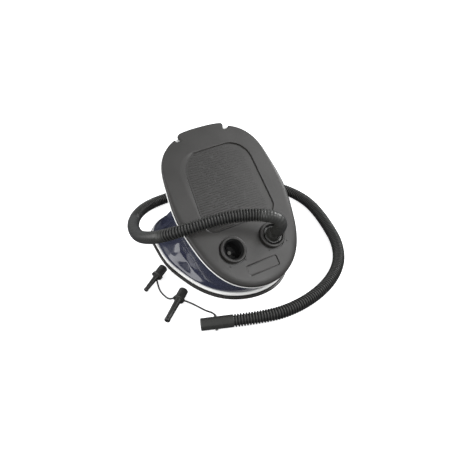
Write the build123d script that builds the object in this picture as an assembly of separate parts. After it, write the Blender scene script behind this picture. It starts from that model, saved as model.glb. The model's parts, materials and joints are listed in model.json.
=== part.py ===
from build123d import *
import math
import os

# A foot bellows pump for airbeds and boats. +Z is up, the base stands on Z = 0, the hinge end
# with the two air ports is at -Y and the end that opens is at +Y. Millimetres and degrees.
# The treadle (the upper plate with its ports) is drawn closed, flat above the base, and then
# swung open about the hinge pin, which is how the pump rests.

# ---- driving dimensions: plates ----
PLATE_LENGTH = 300.0        # treadle plate, hinge end to foot end
PLATE_WIDTH = 218.4
BASE_OVERHANG = 1.6         # the base stands this much outside the treadle all round
OPEN_ANGLE = 39.6           # treadle above the base when the return spring has lifted it
CLOSED_HEIGHT = 47.9        # underside of the treadle's edge when it lies parallel to the base

BASE_RIM = 6.5              # height of the base tray's edge
BASE_STEP = 3.2             # height of the narrower foot under that edge
STEP_IN = 1.2               # how far the foot stands inside the edge
BASE_SKIN = 3.0             # floor of the tray
LAND_WIDTH = 12.0           # rim land that the clamp ring sits on
TREADLE_RIM = 8.0           # height of the treadle's edge
TREADLE_SKIN = 3.5
TREADLE_WALL = 4.0
TREADLE_ROLL = 3.0          # rounding of the treadle's upper edge

RING_INSET = 2.2            # base clamp ring, inside the base outline
RING_WIDTH = 6.5
RING_HEIGHT = 5.5
TRIM_INSET = 0.6            # treadle clamp ring, inside the treadle outline
TRIM_WIDTH = 7.0
TRIM_HEIGHT = 3.0

TAB_REACH = 6.0             # how far the grip tab at the foot end stands beyond the oval
TAB_DEPTH = 30.0            # how far it runs back into the plate
TAB_CORNER = 9.0
TAB_EDGE = 1.0              # the treadle's tab is thinner than its edge by this, above and below
NOTCH_X = 48.0
NOTCH_Y_IN = 8.0            # notch centre, from the oval's foot end
NOTCH_RADIUS = 3.5
TAB_HALF_WIDTH = NOTCH_X - NOTCH_RADIUS     # the tab fills the room between the two notches

PAD_HALF_WIDTH = 72.0       # recessed foot pad
PAD_FAR = 110.0
PAD_NEAR = -42.0
PAD_CORNER_FAR = 40.0
PAD_CORNER_NEAR = 22.0
PAD_OVERRUN = 60.0          # how far each half of the pad runs past the other, corners hidden
PAD_DEPTH = 1.5
PLAQUE_SIZE = (62.8, 19.8)  # bare recessed plaque between the ports and the hinge end
PLAQUE_Y = -117.4
PLAQUE_DEPTH = 1.0
PLAQUE_CORNER = 4.0

# ---- bellows ----
BELLOWS_SKIN = 1.2
BELLOWS_INSET = 6.2         # from the base outline, on the clamp ring's top face
BELLOWS_TOP_INSET = 4.5     # from the treadle outline, under its clamp ring
SOFT_GAP = 0.3              # between the bellows and the parts of the treadle

# ---- hinge inside the bellows, at the port end ----
HINGE_Y = -138.0
HINGE_Z = 20.0
PIN_RADIUS = 2.5
PIN_HALF_LENGTH = 21.0
PIN_CLEARANCE = 0.05        # running fit in the treadle's knuckle
KNUCKLE_RADIUS = 5.5
KNUCKLE_HALF_WIDTH = 10.0   # middle knuckle, on the treadle
ARM_BACK = 2.5              # middle of the treadle's arm, from the hinge axis
ARM_DEPTH = 11.0
EAR_GAP = 0.4
EAR_THICKNESS = 7.0
LEAF_IN = 4.0               # the leaves and webs start this far from the hinge axis
LEAF_LENGTH = 34.0
WEB_LENGTH = 12.0
LEAF_THICKNESS = 3.0
LEAF_WIDTH = 36.0
HINGE_SCREW_RADIUS = 1.9
HINGE_SCREW_HEAD = 3.6
HINGE_SCREW_X = 11.0
HINGE_SCREW_BACK = 24.0     # from the hinge axis
HINGE_SCREW_BITE = 2.5      # thread in the base's floor
UPPER_SCREW_BITE = 1.2      # thread in the treadle's skin
SCREW_HOLE_SKIN = 0.8       # left of the skin over the upper screws' holes

# ---- return spring ----
SPRING_Y = 15.0             # distance from the origin towards the foot end
SPRING_RADIUS = 22.0
SPRING_WIRE = 3.2
SPRING_TURNS = 7
SPRING_END_GAP = 0.3
SPRING_DEAD_TURNS = 0.75    # at each end, lying flat in its cup
SPRING_POINTS = 10          # to a turn, on the wire's line
SEAT_RADIUS = 29.0
SEAT_SKIN = 2.5
SEAT_LIP_HEIGHT = 6.0
SEAT_SPIGOT = 17.0
SEAT_WALL = 2.5             # thickness of the cup's outer lip and of its spigot

# ---- air ports ----
PORT_X = 40.0
PORT_Y = -74.5
COLLAR_RADIUS = 23.0
COLLAR_HEIGHT = 5.0
COLLAR_ROUND = 1.6
GASKET_THICKNESS = 1.0
BARREL_RADIUS = 20.0
BARREL_CLEARANCE = 0.15
BORE_RADIUS = 17.5
BARREL_DEPTH = 22.0         # below the treadle's top face
WEB_THICKNESS = 2.5
WEB_HUB = 5.0
WEB_SPOKE = 3.0
WEB_SEAT = 12.5             # inner radius of the ring that the valve disc closes on
LIP_RADIUS = 15.8           # bayonet lip in the mouth of the port
LIP_THICKNESS = 3.0
LIP_DROP = 4.0              # from the collar's top to the lip
NOTCH_ANGLE = 40.0          # each of the two bayonet notches

VALVE_RADIUS = 15.0
VALVE_THICKNESS = 1.2
VALVE_LIFT = 2.5
VALVE_BORE_GAP = 0.08
STUD_RADIUS = 1.6
STUD_HEAD = 3.4
STUD_HEAD_THICKNESS = 1.4
VALVE_REST_GAP = 0.02

# ---- hose connector in the inflating port ----
CONNECTOR_GAP = 0.5         # between the connector and the port's lip
CONNECTOR_DEPTH = 9.0       # below the lip
WING_RADIUS = 17.1
WING_THICKNESS = 2.0
WING_ANGLE = 34.0
WING_GAP = 0.4
EAR_ANGLE = 44.0
EAR_OUT = 16.9
EAR_RISE = 2.0
SPIGOT_BASE = 13.2
SPIGOT_LENGTH = 12.0
CONNECTOR_BORE = 8.5
ORING_SECTION = 1.3
ORING_SINK = 0.8
ORING_UP = 2.3              # seal's middle, from the plug's inner end
TWIST_LIMIT = 60.0

# ---- hose, nozzle and adapters ----
HOSE_RADIUS = 11.0
HOSE_RISE = 27.0            # straight run on the port axis, above the spigot
TETHER_RADIUS = 1.25
NOZZLE_RADIUS = 10.3
NOZZLE_LENGTH = 54.0
NOZZLE_BORE = 8.1
NOZZLE_BORE_DEPTH = 44.0
NOZZLE_ROUND = 1.5
LUG_RADIUS = 2.4
LUG_HEIGHT = 2.2
NOZZLE_LUG_AT = 24.0        # from the hose end of the nozzle
ADAPTER_SOCKET_RADIUS = 8.0
ADAPTER_SOCKET_BORE = 6.6
ADAPTER_SOCKET_LENGTH = 23.0
COLLAR_TAB_RADIUS = 9.6
COLLAR_TAB_THICKNESS = 4.0
TIP_BORE = 2.2
SOCKET_FLOOR = 3.0          # solid end of the socket, behind the tip
TETHER_GAP = 0.1            # between a tether's end and the lug that it grows from
SMALL_TIP_LENGTH = 36.0
SMALL_TIP_RADII = (4.9, 3.6)
LARGE_TIP_LENGTH = 48.0
LARGE_TIP_RADII = (5.6, 4.6)

# Places of the loose pieces on the floor: (x, y) of the hose end of the nozzle comes from the
# hose; the adapters are given by their socket's mouth and their heading in the XY plane.
SMALL_ADAPTER_MOUTH = (-122.5, -7.9)
SMALL_ADAPTER_HEADING = 209.2
LARGE_ADAPTER_MOUTH = (-120.3, -80.2)
LARGE_ADAPTER_HEADING = 217.9

# Half outline of a plate as shares of its half width and half length, foot end first.
OUTLINE = [
    (0.0, 1.0), (0.331, 0.987), (0.646, 0.903), (0.858, 0.713), (0.953, 0.412), (1.0, 0.025),
    (0.954, -0.235), (0.849, -0.529), (0.589, -0.831), (0.257, -0.972), (0.0, -1.0),
]

# The hose as it lies, from the connector over the treadle's left edge, down to the floor,
# round behind the pump and forward again to the nozzle. The two points before these lie on
# the port's axis.
HOSE_ROUTE = [
    (30, -131, 150), (2, -115.5, 150), (-36, -101.5, 147), (-72, -92, 143.5),
    (-107, -79, 136), (-132, -63, 126), (-151, -32, 106), (-155, 22, 78), (-133, 98, 50),
    (-92, 163, 26), (-46, 197, 13), (4, 202, 11), (56, 206, 11), (118, 192, 11), (170, 163, 11),
    (210, 124, 11), (232, 78, 11), (238, 28, 11), (229, -20, 11), (214, -68, 11),
    (196, -114, 11), (164, -159, 11), (120, -191, 11), (68, -210, 11), (14, -216, 11),
    (-34, -208.5, 11), (-86, -187, 11),
]
# The thin tethers that keep the adapters on the nozzle, from lug to lug.
NOZZLE_TETHER = [(-106, -136, 1.3), (-112, -118, 1.3), (-119, -106, 3)]
ADAPTER_TETHER = [(-147, -76, 1.6), (-149, -56, 1.3), (-148, -36, 2.2)]


def outline_points(grow):
    """Points of the closed oval, moved out by grow, as X and Y."""
    half = [(x * PLATE_WIDTH / 2, y * PLATE_LENGTH / 2) for x, y in OUTLINE]
    ring = half + [(-x, y) for x, y in half[-2:0:-1]]
    moved = []
    for i, (x, y) in enumerate(ring):
        before = ring[i - 1]
        after = ring[(i + 1) % len(ring)]
        along = Vector(after[0] - before[0], after[1] - before[1]).normalized()
        moved.append((x - along.Y * grow, y + along.X * grow))
    return moved


def oval(grow):
    """Flat face of the plates' outline at Z = 0, moved out by grow."""
    return make_face(Spline(*outline_points(grow), periodic=True))


def slab(face, low, high):
    """A face on Z = 0 as a solid from low to high."""
    return Pos(0, 0, low) * extrude(face, high - low)


def disc(radius, low, high, x=0.0, y=0.0):
    """A round solid on a vertical axis."""
    return Pos(x, y, low) * Cylinder(radius, high - low, align=(Align.CENTER, Align.CENTER, Align.MIN))


def ring_slab(outer, inner, low, high, x=0.0, y=0.0):
    """A flat round ring on a vertical axis."""
    return disc(outer, low, high, x, y) - disc(inner, low - 1, high + 1, x, y)


def sector(outer, inner, angle, centre, low, high):
    """Part of a flat ring, angle wide about the heading centre."""
    steps = [math.radians(centre + angle * (k / 6 - 0.5)) for k in range(7)]
    far = 2 * outer
    fan = Polyline((0, 0), *[(far * math.cos(a), far * math.sin(a)) for a in steps], (0, 0))
    return ring_slab(outer, inner, low, high) & slab(make_face(fan), low, high)


def grip_tab(grow, low, high):
    """Tab that stands proud of the oval at the foot end."""
    reach = TAB_DEPTH + TAB_REACH
    middle = PLATE_LENGTH / 2 + grow + TAB_REACH - reach / 2
    return slab(Pos(0, middle) * RectangleRounded(2 * TAB_HALF_WIDTH, reach, TAB_CORNER), low, high)


def notches(grow, low, high):
    """The two open notches beside the tab, to cut away."""
    y = PLATE_LENGTH / 2 + grow - NOTCH_Y_IN
    tools = []
    for side in (-1, 1):
        tools.append(disc(NOTCH_RADIUS, low, high, side * NOTCH_X, y))
        mouth = Pos(side * NOTCH_X, y + TAB_DEPTH / 2) * Rectangle(2 * NOTCH_RADIUS, TAB_DEPTH)
        tools.append(slab(mouth, low, high))
    return tools


# ---- the pin's frame and the swing that opens the treadle ----
HINGE_AXIS = Axis((0, HINGE_Y, HINGE_Z), (1, 0, 0))
TOP_FACE = CLOSED_HEIGHT + TREADLE_RIM
UNDER_SKIN = TOP_FACE - TREADLE_SKIN
COLLAR_TOP = TOP_FACE + GASKET_THICKNESS + COLLAR_HEIGHT
LIP_TOP = COLLAR_TOP - LIP_DROP
LIP_UNDER = LIP_TOP - LIP_THICKNESS
WEB_TOP = TOP_FACE - BARREL_DEPTH + WEB_THICKNESS
SPIGOT_TOP = COLLAR_TOP + SPIGOT_LENGTH


def opened(solid):
    """A treadle piece drawn closed, at its place in the open pump."""
    return solid.rotate(HINGE_AXIS, OPEN_ANGLE)


def opened_point(x, y, z):
    """A point of the closed treadle, at its place in the open pump."""
    turn = math.radians(OPEN_ANGLE)
    dy = y - HINGE_Y
    dz = z - HINGE_Z
    return (
        x,
        HINGE_Y + dy * math.cos(turn) - dz * math.sin(turn),
        HINGE_Z + dy * math.sin(turn) + dz * math.cos(turn),
    )


def base_plate():
    """Moulded tray: stepped edge, clamp land, floor, hinge screw holes."""
    foot = slab(oval(BASE_OVERHANG - STEP_IN), 0, BASE_STEP)
    tray = foot + slab(oval(BASE_OVERHANG), BASE_STEP, BASE_RIM) + grip_tab(BASE_OVERHANG, BASE_STEP, BASE_RIM)
    pocket = slab(oval(BASE_OVERHANG - LAND_WIDTH), BASE_SKIN, BASE_RIM + 1)
    for tool in [pocket] + notches(BASE_OVERHANG, -1, BASE_RIM + 1) + hinge_screw_holes(-1, BASE_RIM):
        tray = tray - tool
    return tray


def base_clamp_ring():
    """White ring that clamps the bellows' lower edge on the base's land."""
    outer = slab(oval(BASE_OVERHANG - RING_INSET), BASE_RIM, BASE_RIM + RING_HEIGHT)
    inner = slab(oval(BASE_OVERHANG - RING_INSET - RING_WIDTH), BASE_RIM - 1, BASE_RIM + RING_HEIGHT + 1)
    return outer - inner


def treadle_clamp_ring():
    """White ring under the treadle's edge."""
    outer = oval(-TRIM_INSET)
    inner = oval(-TRIM_INSET - TRIM_WIDTH)
    low = CLOSED_HEIGHT - TRIM_HEIGHT
    return opened(slab(outer, low, CLOSED_HEIGHT) - slab(inner, low - 1, CLOSED_HEIGHT + 1))


def pad_face():
    """Outline of the recessed foot pad: wide round corners at the foot end."""
    length = PAD_FAR - PAD_NEAR + PAD_OVERRUN
    near_middle = PAD_NEAR + length / 2
    far_middle = PAD_FAR - length / 2
    near = Pos(0, near_middle) * RectangleRounded(2 * PAD_HALF_WIDTH, length, PAD_CORNER_NEAR)
    far = Pos(0, far_middle) * RectangleRounded(2 * PAD_HALF_WIDTH, length, PAD_CORNER_FAR)
    return near & far


def treadle_plate():
    """Upper plate: rounded edge, foot pad, plaque, port holes, hollow underside."""
    body = slab(oval(0), CLOSED_HEIGHT, TOP_FACE)
    body = fillet(body.edges().group_by(Axis.Z)[-1], TREADLE_ROLL)
    body = body + grip_tab(0, CLOSED_HEIGHT + TAB_EDGE, TOP_FACE - TAB_EDGE)
    foot_end = slab(Pos(0, PLATE_LENGTH / 2) * Rectangle(2 * NOTCH_X + 20, TAB_DEPTH), 0, 2 * TOP_FACE)
    hollow = slab(oval(-TREADLE_WALL), CLOSED_HEIGHT - 1, UNDER_SKIN) - foot_end
    pad = slab(pad_face(), TOP_FACE - PAD_DEPTH, TOP_FACE + 1)
    plaque = Pos(0, PLAQUE_Y) * RectangleRounded(*PLAQUE_SIZE, PLAQUE_CORNER)
    tools = notches(0, CLOSED_HEIGHT - 1, TOP_FACE + 1)
    tools += [hollow, pad, slab(plaque, TOP_FACE - PLAQUE_DEPTH, TOP_FACE + 1)]
    for side in (-1, 1):
        hole = BARREL_RADIUS + BARREL_CLEARANCE
        tools.append(disc(hole, CLOSED_HEIGHT, TOP_FACE + 1, side * PORT_X, PORT_Y))
    for tool in tools + hinge_screw_holes(UNDER_SKIN - 1, TOP_FACE - PLAQUE_DEPTH - SCREW_HOLE_SKIN):
        body = body - tool
    return opened(body)


def hinge_screw_holes(low, high):
    """Drillings for the two screws of a hinge leaf."""
    y = HINGE_Y + HINGE_SCREW_BACK
    return [disc(HINGE_SCREW_RADIUS, low, high, side * HINGE_SCREW_X, y) for side in (-1, 1)]


def hinge_leaf(low):
    """Flat leaf of a hinge bracket, from low up, drilled for its screws."""
    y = HINGE_Y + LEAF_IN + LEAF_LENGTH / 2
    leaf = Pos(0, y, low + LEAF_THICKNESS / 2) * Box(LEAF_WIDTH, LEAF_LENGTH, LEAF_THICKNESS)
    for hole in hinge_screw_holes(low - 1, low + LEAF_THICKNESS + 1):
        leaf = leaf - hole
    return leaf


def lower_hinge_bracket():
    """Base half of the hinge: two ears that hold the pin."""
    bracket = hinge_leaf(BASE_SKIN)
    for side in (-1, 1):
        x = side * (KNUCKLE_HALF_WIDTH + EAR_GAP + EAR_THICKNESS / 2)
        barrel = Pos(x, HINGE_Y, HINGE_Z) * Rot(0, 90, 0) * Cylinder(KNUCKLE_RADIUS, EAR_THICKNESS)
        web = Pos(x, HINGE_Y + LEAF_IN + WEB_LENGTH / 2, (BASE_SKIN + HINGE_Z) / 2) * Box(
            EAR_THICKNESS, WEB_LENGTH, HINGE_Z - BASE_SKIN)
        bracket = bracket + barrel + web
    knuckle_room = Pos(0, HINGE_Y, HINGE_Z) * Rot(0, 90, 0) * Cylinder(
        KNUCKLE_RADIUS + 1, 2 * KNUCKLE_HALF_WIDTH + 2 * EAR_GAP)
    bore = Pos(0, HINGE_Y, HINGE_Z) * Rot(0, 90, 0) * Cylinder(PIN_RADIUS, 4 * PIN_HALF_LENGTH)
    return bracket - knuckle_room - bore


def upper_hinge_bracket():
    """Treadle half of the hinge: the middle knuckle on a ribbed arm."""
    bracket = hinge_leaf(UNDER_SKIN - LEAF_THICKNESS)
    barrel = Pos(0, HINGE_Y, HINGE_Z) * Rot(0, 90, 0) * Cylinder(KNUCKLE_RADIUS, 2 * KNUCKLE_HALF_WIDTH)
    height = UNDER_SKIN - HINGE_Z - LEAF_THICKNESS
    arm = Pos(0, HINGE_Y + ARM_BACK, HINGE_Z + height / 2) * Box(
        2 * KNUCKLE_HALF_WIDTH, ARM_DEPTH, height + 1)
    bore = Pos(0, HINGE_Y, HINGE_Z) * Rot(0, 90, 0) * Cylinder(PIN_RADIUS + PIN_CLEARANCE, 4 * PIN_HALF_LENGTH)
    return opened(bracket + barrel + arm - bore)


def hinge_pin():
    """Steel pin, pressed in the base's ears."""
    pin = Pos(0, HINGE_Y, HINGE_Z) * Rot(0, 90, 0) * Cylinder(PIN_RADIUS, 2 * PIN_HALF_LENGTH)
    return chamfer(pin.edges().filter_by(GeomType.CIRCLE), 0.5)


def hinge_screws(bearing, up, length):
    """Two pan-head screws: bearing is the face under the heads, up is 1 with the heads on top."""
    y = HINGE_Y + HINGE_SCREW_BACK
    screws = []
    for side in (-1, 1):
        tip = bearing - up * length
        shank = disc(HINGE_SCREW_RADIUS, min(bearing, tip), max(bearing, tip), side * HINGE_SCREW_X, y)
        crown = bearing + up * HINGE_SCREW_RADIUS
        head = disc(HINGE_SCREW_HEAD, min(bearing, crown), max(bearing, crown), side * HINGE_SCREW_X, y)
        screws.append(shank + head)
    return screws


def seat(face_z, up):
    """Cup that holds an end of the return spring: face_z is the plate, up its facing."""
    y = SPRING_Y
    ends = sorted((face_z, face_z + up * SEAT_SKIN))
    floor = disc(SEAT_RADIUS, *ends, 0, y)
    tall = sorted((face_z, face_z + up * (SEAT_SKIN + SEAT_LIP_HEIGHT)))
    lip = ring_slab(SEAT_RADIUS, SEAT_RADIUS - SEAT_WALL, *tall, 0, y)
    spigot = ring_slab(SEAT_SPIGOT, SEAT_SPIGOT - SEAT_WALL, *tall, 0, y)
    return floor + lip + spigot


def return_spring():
    """Coil that follows the treadle's arc, from the lower cup to the upper one."""
    radius_y = SPRING_Y - HINGE_Y
    low = BASE_SKIN + SEAT_SKIN + SPRING_WIRE / 2 + SPRING_END_GAP - HINGE_Z
    high = UNDER_SKIN - SEAT_SKIN - SPRING_WIRE / 2 - SPRING_END_GAP - HINGE_Z
    steps = SPRING_POINTS * SPRING_TURNS
    points = []
    for k in range(steps + 1):
        part = k / steps
        # the end turns lie flat in their cups and the middle turns carry the whole pitch
        risen = (part * SPRING_TURNS - SPRING_DEAD_TURNS) / (SPRING_TURNS - 2 * SPRING_DEAD_TURNS)
        lift = min(max(risen, 0.0), 1.0)
        turn = math.radians(OPEN_ANGLE * lift)
        height = low + (high - low) * lift
        angle = 2 * math.pi * part * SPRING_TURNS
        x = SPRING_RADIUS * math.cos(angle)
        reach = radius_y + SPRING_RADIUS * math.sin(angle)
        y = HINGE_Y + reach * math.cos(turn) - height * math.sin(turn)
        z = HINGE_Z + reach * math.sin(turn) + height * math.cos(turn)
        points.append((x, y, z))
    path = Spline(*points)
    section = Plane(origin=path @ 0, z_dir=path % 0) * Circle(SPRING_WIRE / 2)
    return sweep(section, path)


def bellows():
    """Hollow cloth wall from the base's clamp ring to the treadle's, as a ruled skin."""
    return bellows_body(0) - bellows_body(BELLOWS_SKIN)


def bellows_body(inside):
    """Filled wedge between the two clamp rings, inside by the given amount."""
    bottom = BASE_RIM + RING_HEIGHT - (1 if inside else 0)
    top = CLOSED_HEIGHT - TRIM_HEIGHT - SOFT_GAP + (1 if inside else 0)
    lower = Pos(0, 0, bottom) * oval(BASE_OVERHANG - BELLOWS_INSET - inside)
    upper = opened(Pos(0, 0, top) * oval(-BELLOWS_TOP_INSET - inside))
    return loft([lower, upper], ruled=True)


def port(valve_inside):
    """Bayonet socket with its collar, valve seat and spokes, on the port axis at X = Y = 0."""
    bottom = TOP_FACE - BARREL_DEPTH
    collar = ring_slab(COLLAR_RADIUS, BORE_RADIUS, TOP_FACE + GASKET_THICKNESS, COLLAR_TOP)
    collar = fillet(collar.edges().group_by(Axis.Z)[-1], COLLAR_ROUND)
    barrel = ring_slab(BARREL_RADIUS, BORE_RADIUS, bottom, TOP_FACE + GASKET_THICKNESS)
    seat_ring = ring_slab(BORE_RADIUS, WEB_SEAT, bottom, WEB_TOP)
    hub = ring_slab(WEB_HUB, STUD_RADIUS, bottom, WEB_TOP)
    body = collar + barrel + seat_ring + hub
    for k in range(3):
        spoke = Pos((WEB_HUB + WEB_SEAT) / 2, 0, (bottom + WEB_TOP) / 2) * Box(
            WEB_SEAT - WEB_HUB + 2, WEB_SPOKE, WEB_THICKNESS)
        body = body + Rot(0, 0, 90 + 120 * k) * spoke
    lip = ring_slab(BORE_RADIUS, LIP_RADIUS, LIP_UNDER, LIP_TOP)
    for heading in (45, 225):
        lip = lip - sector(BORE_RADIUS, LIP_RADIUS - 1, NOTCH_ANGLE, heading, LIP_UNDER, LIP_TOP)
    return body + lip


def on_port(solid, side):
    """A piece drawn on the axis X = Y = 0, at a port: side -1 deflates, 1 inflates."""
    return opened(Pos(side * PORT_X, PORT_Y, 0) * solid)


def port_gasket():
    """Flat seal under a port's collar."""
    return ring_slab(COLLAR_RADIUS - 1, BARREL_RADIUS + BARREL_CLEARANCE, TOP_FACE, TOP_FACE + GASKET_THICKNESS)


def valve_disc(side):
    """Flap that lies on the seat ring: above it to inflate, below it to deflate."""
    low = WEB_TOP + VALVE_REST_GAP if side > 0 else WEB_TOP - WEB_THICKNESS - VALVE_THICKNESS - VALVE_REST_GAP
    return ring_slab(VALVE_RADIUS, STUD_RADIUS + VALVE_BORE_GAP, low, low + VALVE_THICKNESS)


def valve_stud(side):
    """Headed stud in the hub that limits the flap's lift."""
    room = VALVE_THICKNESS + VALVE_LIFT + 2 * VALVE_REST_GAP
    top = WEB_TOP + (room if side > 0 else 0)
    bottom = WEB_TOP - WEB_THICKNESS - (0 if side > 0 else room)
    shank = disc(STUD_RADIUS, bottom, top)
    heads = disc(STUD_HEAD, top, top + STUD_HEAD_THICKNESS) + disc(
        STUD_HEAD, bottom - STUD_HEAD_THICKNESS, bottom)
    return shank + heads


def hose_connector():
    """Bayonet plug: barrel with wings under the lip, grip ears above it, tapered spigot."""
    radius = LIP_RADIUS - CONNECTOR_GAP
    bottom = LIP_TOP - CONNECTOR_DEPTH
    barrel = disc(radius, bottom, LIP_TOP + WING_GAP)
    plate = disc(radius, LIP_TOP + WING_GAP, LIP_TOP + WING_GAP + EAR_RISE)
    cone = Pos(0, 0, LIP_TOP + WING_GAP + EAR_RISE) * Cone(
        SPIGOT_BASE, HOSE_RADIUS, SPIGOT_TOP - LIP_TOP - WING_GAP - EAR_RISE,
        align=(Align.CENTER, Align.CENTER, Align.MIN))
    body = barrel + plate + cone
    for heading in (135, 315):
        wing_top = LIP_UNDER - WING_GAP
        body = body + sector(WING_RADIUS, radius - 2, WING_ANGLE, heading, wing_top - WING_THICKNESS, wing_top)
        low = LIP_TOP + WING_GAP
        body = body + sector(EAR_OUT, radius - 2, EAR_ANGLE, heading, low, low + EAR_RISE)
    groove = Pos(0, 0, oring_z()) * Torus(radius + ORING_SECTION - ORING_SINK, ORING_SECTION)
    return body - disc(CONNECTOR_BORE, bottom - 1, SPIGOT_TOP + 1) - groove


def oring_z():
    """Height of the connector's seal, near its inner end."""
    return LIP_TOP - CONNECTOR_DEPTH + ORING_UP


def connector_oring():
    """Round seal in the connector's groove."""
    radius = LIP_RADIUS - CONNECTOR_GAP
    return Pos(0, 0, oring_z()) * Torus(radius + ORING_SECTION - ORING_SINK, ORING_SECTION)


def cord_path(points):
    """Straight runs joined by tangent arcs, each as large as its two runs allow."""
    corners = [Vector(*p) for p in points]
    radii = []
    for before, here, after in zip(corners, corners[1:], corners[2:]):
        turn = (here - before).get_angle(after - here)
        run = min((here - before).length, (after - here).length)
        radii.append(0.45 * run / math.tan(math.radians(turn / 2)))
    return FilletPolyline(*corners, radius=radii), radii


def cord(points, radius, name):
    """A round cord along its route; prints its bends and tests its volume."""
    path, radii = cord_path(points)
    tube = sweep(Plane(origin=path @ 0, z_dir=path % 0) * Circle(radius), path)
    share = tube.volume / (math.pi * radius**2 * path.length)
    bends = " ".join(f"{r:.0f}" for r in radii)
    print(f"{name}: length {path.length:.0f}, volume share {share:.3f}, radii {bends}")
    return tube


def hose_points():
    """The hose's route from the connector's end face."""
    on_axis = [opened_point(PORT_X, PORT_Y, SPIGOT_TOP + rise) for rise in (0, HOSE_RISE)]
    return on_axis + HOSE_ROUTE


def nozzle():
    """Plain cuff on the hose's end with two tether lugs, lying on the floor."""
    body = Cylinder(NOZZLE_RADIUS, NOZZLE_LENGTH, align=(Align.CENTER, Align.CENTER, Align.MIN))
    body = fillet(body.edges().group_by(Axis.Z)[-1], NOZZLE_ROUND)
    for side in (-1, 1):
        body = body + Pos(0, side * NOZZLE_RADIUS, NOZZLE_LUG_AT) * Rot(90, 0, 0) * Cylinder(
            LUG_RADIUS, 2 * LUG_HEIGHT)
    bore = Pos(0, 0, NOZZLE_LENGTH - NOZZLE_BORE_DEPTH) * Cylinder(
        NOZZLE_BORE, NOZZLE_BORE_DEPTH + 1, align=(Align.CENTER, Align.CENTER, Align.MIN))
    return lying(body - bore, HOSE_ROUTE[-1], nozzle_heading(), 0)


def nozzle_heading():
    """Heading of the hose's last run in the XY plane."""
    last = Vector(*HOSE_ROUTE[-1]) - Vector(*HOSE_ROUTE[-2])
    return math.degrees(math.atan2(last.Y, last.X))


def lying(solid, place, heading, dip):
    """Turn a piece's own +Z to a heading on the floor, dipping at its far end."""
    return Pos(*place) * Rot(0, 0, heading) * Rot(0, 90 + dip, 0) * solid


def adapter(tip_length, tip_radii):
    """Valve adapter along +Z: socket, collar with two tabs, tapered tip, bored through."""
    up = (Align.CENTER, Align.CENTER, Align.MIN)
    body = Cylinder(ADAPTER_SOCKET_RADIUS, ADAPTER_SOCKET_LENGTH, align=up)
    tab_z = ADAPTER_SOCKET_LENGTH - COLLAR_TAB_THICKNESS / 2
    body = body + Pos(0, 0, tab_z) * Cylinder(COLLAR_TAB_RADIUS, COLLAR_TAB_THICKNESS)
    body = body + Pos(0, 0, ADAPTER_SOCKET_LENGTH) * Cone(*tip_radii, tip_length, align=up)
    body = body - Pos(0, 0, -1) * Cylinder(
        ADAPTER_SOCKET_BORE, ADAPTER_SOCKET_LENGTH - SOCKET_FLOOR + 1, align=up)
    return body - Cylinder(TIP_BORE, ADAPTER_SOCKET_LENGTH + tip_length + 1, align=up)


def adapter_place(mouth, tip_length, tip_radii):
    """Place and dip of an adapter that rests on its collar and its tip."""
    drop = COLLAR_TAB_RADIUS - tip_radii[1]
    dip = math.degrees(math.asin(drop / tip_length))
    height = COLLAR_TAB_RADIUS / math.cos(math.radians(dip)) + ADAPTER_SOCKET_LENGTH * math.sin(math.radians(dip))
    return (*mouth, height), dip


def small_adapter():
    """Short adapter as it lies."""
    place, dip = adapter_place(SMALL_ADAPTER_MOUTH, SMALL_TIP_LENGTH, SMALL_TIP_RADII)
    return lying(adapter(SMALL_TIP_LENGTH, SMALL_TIP_RADII), place, SMALL_ADAPTER_HEADING, dip)


def large_adapter():
    """Long adapter as it lies."""
    place, dip = adapter_place(LARGE_ADAPTER_MOUTH, LARGE_TIP_LENGTH, LARGE_TIP_RADII)
    return lying(adapter(LARGE_TIP_LENGTH, LARGE_TIP_RADII), place, LARGE_ADAPTER_HEADING, dip)


def adapter_side(mouth, heading, tip_length, tip_radii, side):
    """Point on the side of an adapter's collar: side 1 is to the left of its heading."""
    place, dip = adapter_place(mouth, tip_length, tip_radii)
    along = ADAPTER_SOCKET_LENGTH - COLLAR_TAB_THICKNESS / 2
    turn = math.radians(heading)
    out = side * (COLLAR_TAB_RADIUS + TETHER_GAP)
    flat = along * math.cos(math.radians(dip))
    x = place[0] + flat * math.cos(turn) - out * math.sin(turn)
    y = place[1] + flat * math.sin(turn) + out * math.cos(turn)
    return (x, y, place[2] - along * math.sin(math.radians(dip)))


def nozzle_lug():
    """Middle of the outer face of the nozzle's lug that faces the pump."""
    turn = math.radians(nozzle_heading())
    end = HOSE_ROUTE[-1]
    out = NOZZLE_RADIUS + LUG_HEIGHT + TETHER_GAP
    return (
        end[0] + NOZZLE_LUG_AT * math.cos(turn) + out * math.sin(turn),
        end[1] + NOZZLE_LUG_AT * math.sin(turn) - out * math.cos(turn),
        end[2],
    )


def large_side(side):
    """Tether point on the long adapter."""
    return adapter_side(LARGE_ADAPTER_MOUTH, LARGE_ADAPTER_HEADING, LARGE_TIP_LENGTH, LARGE_TIP_RADII, side)


def small_side(side):
    """Tether point on the short adapter."""
    return adapter_side(SMALL_ADAPTER_MOUTH, SMALL_ADAPTER_HEADING, SMALL_TIP_LENGTH, SMALL_TIP_RADII, side)


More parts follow.
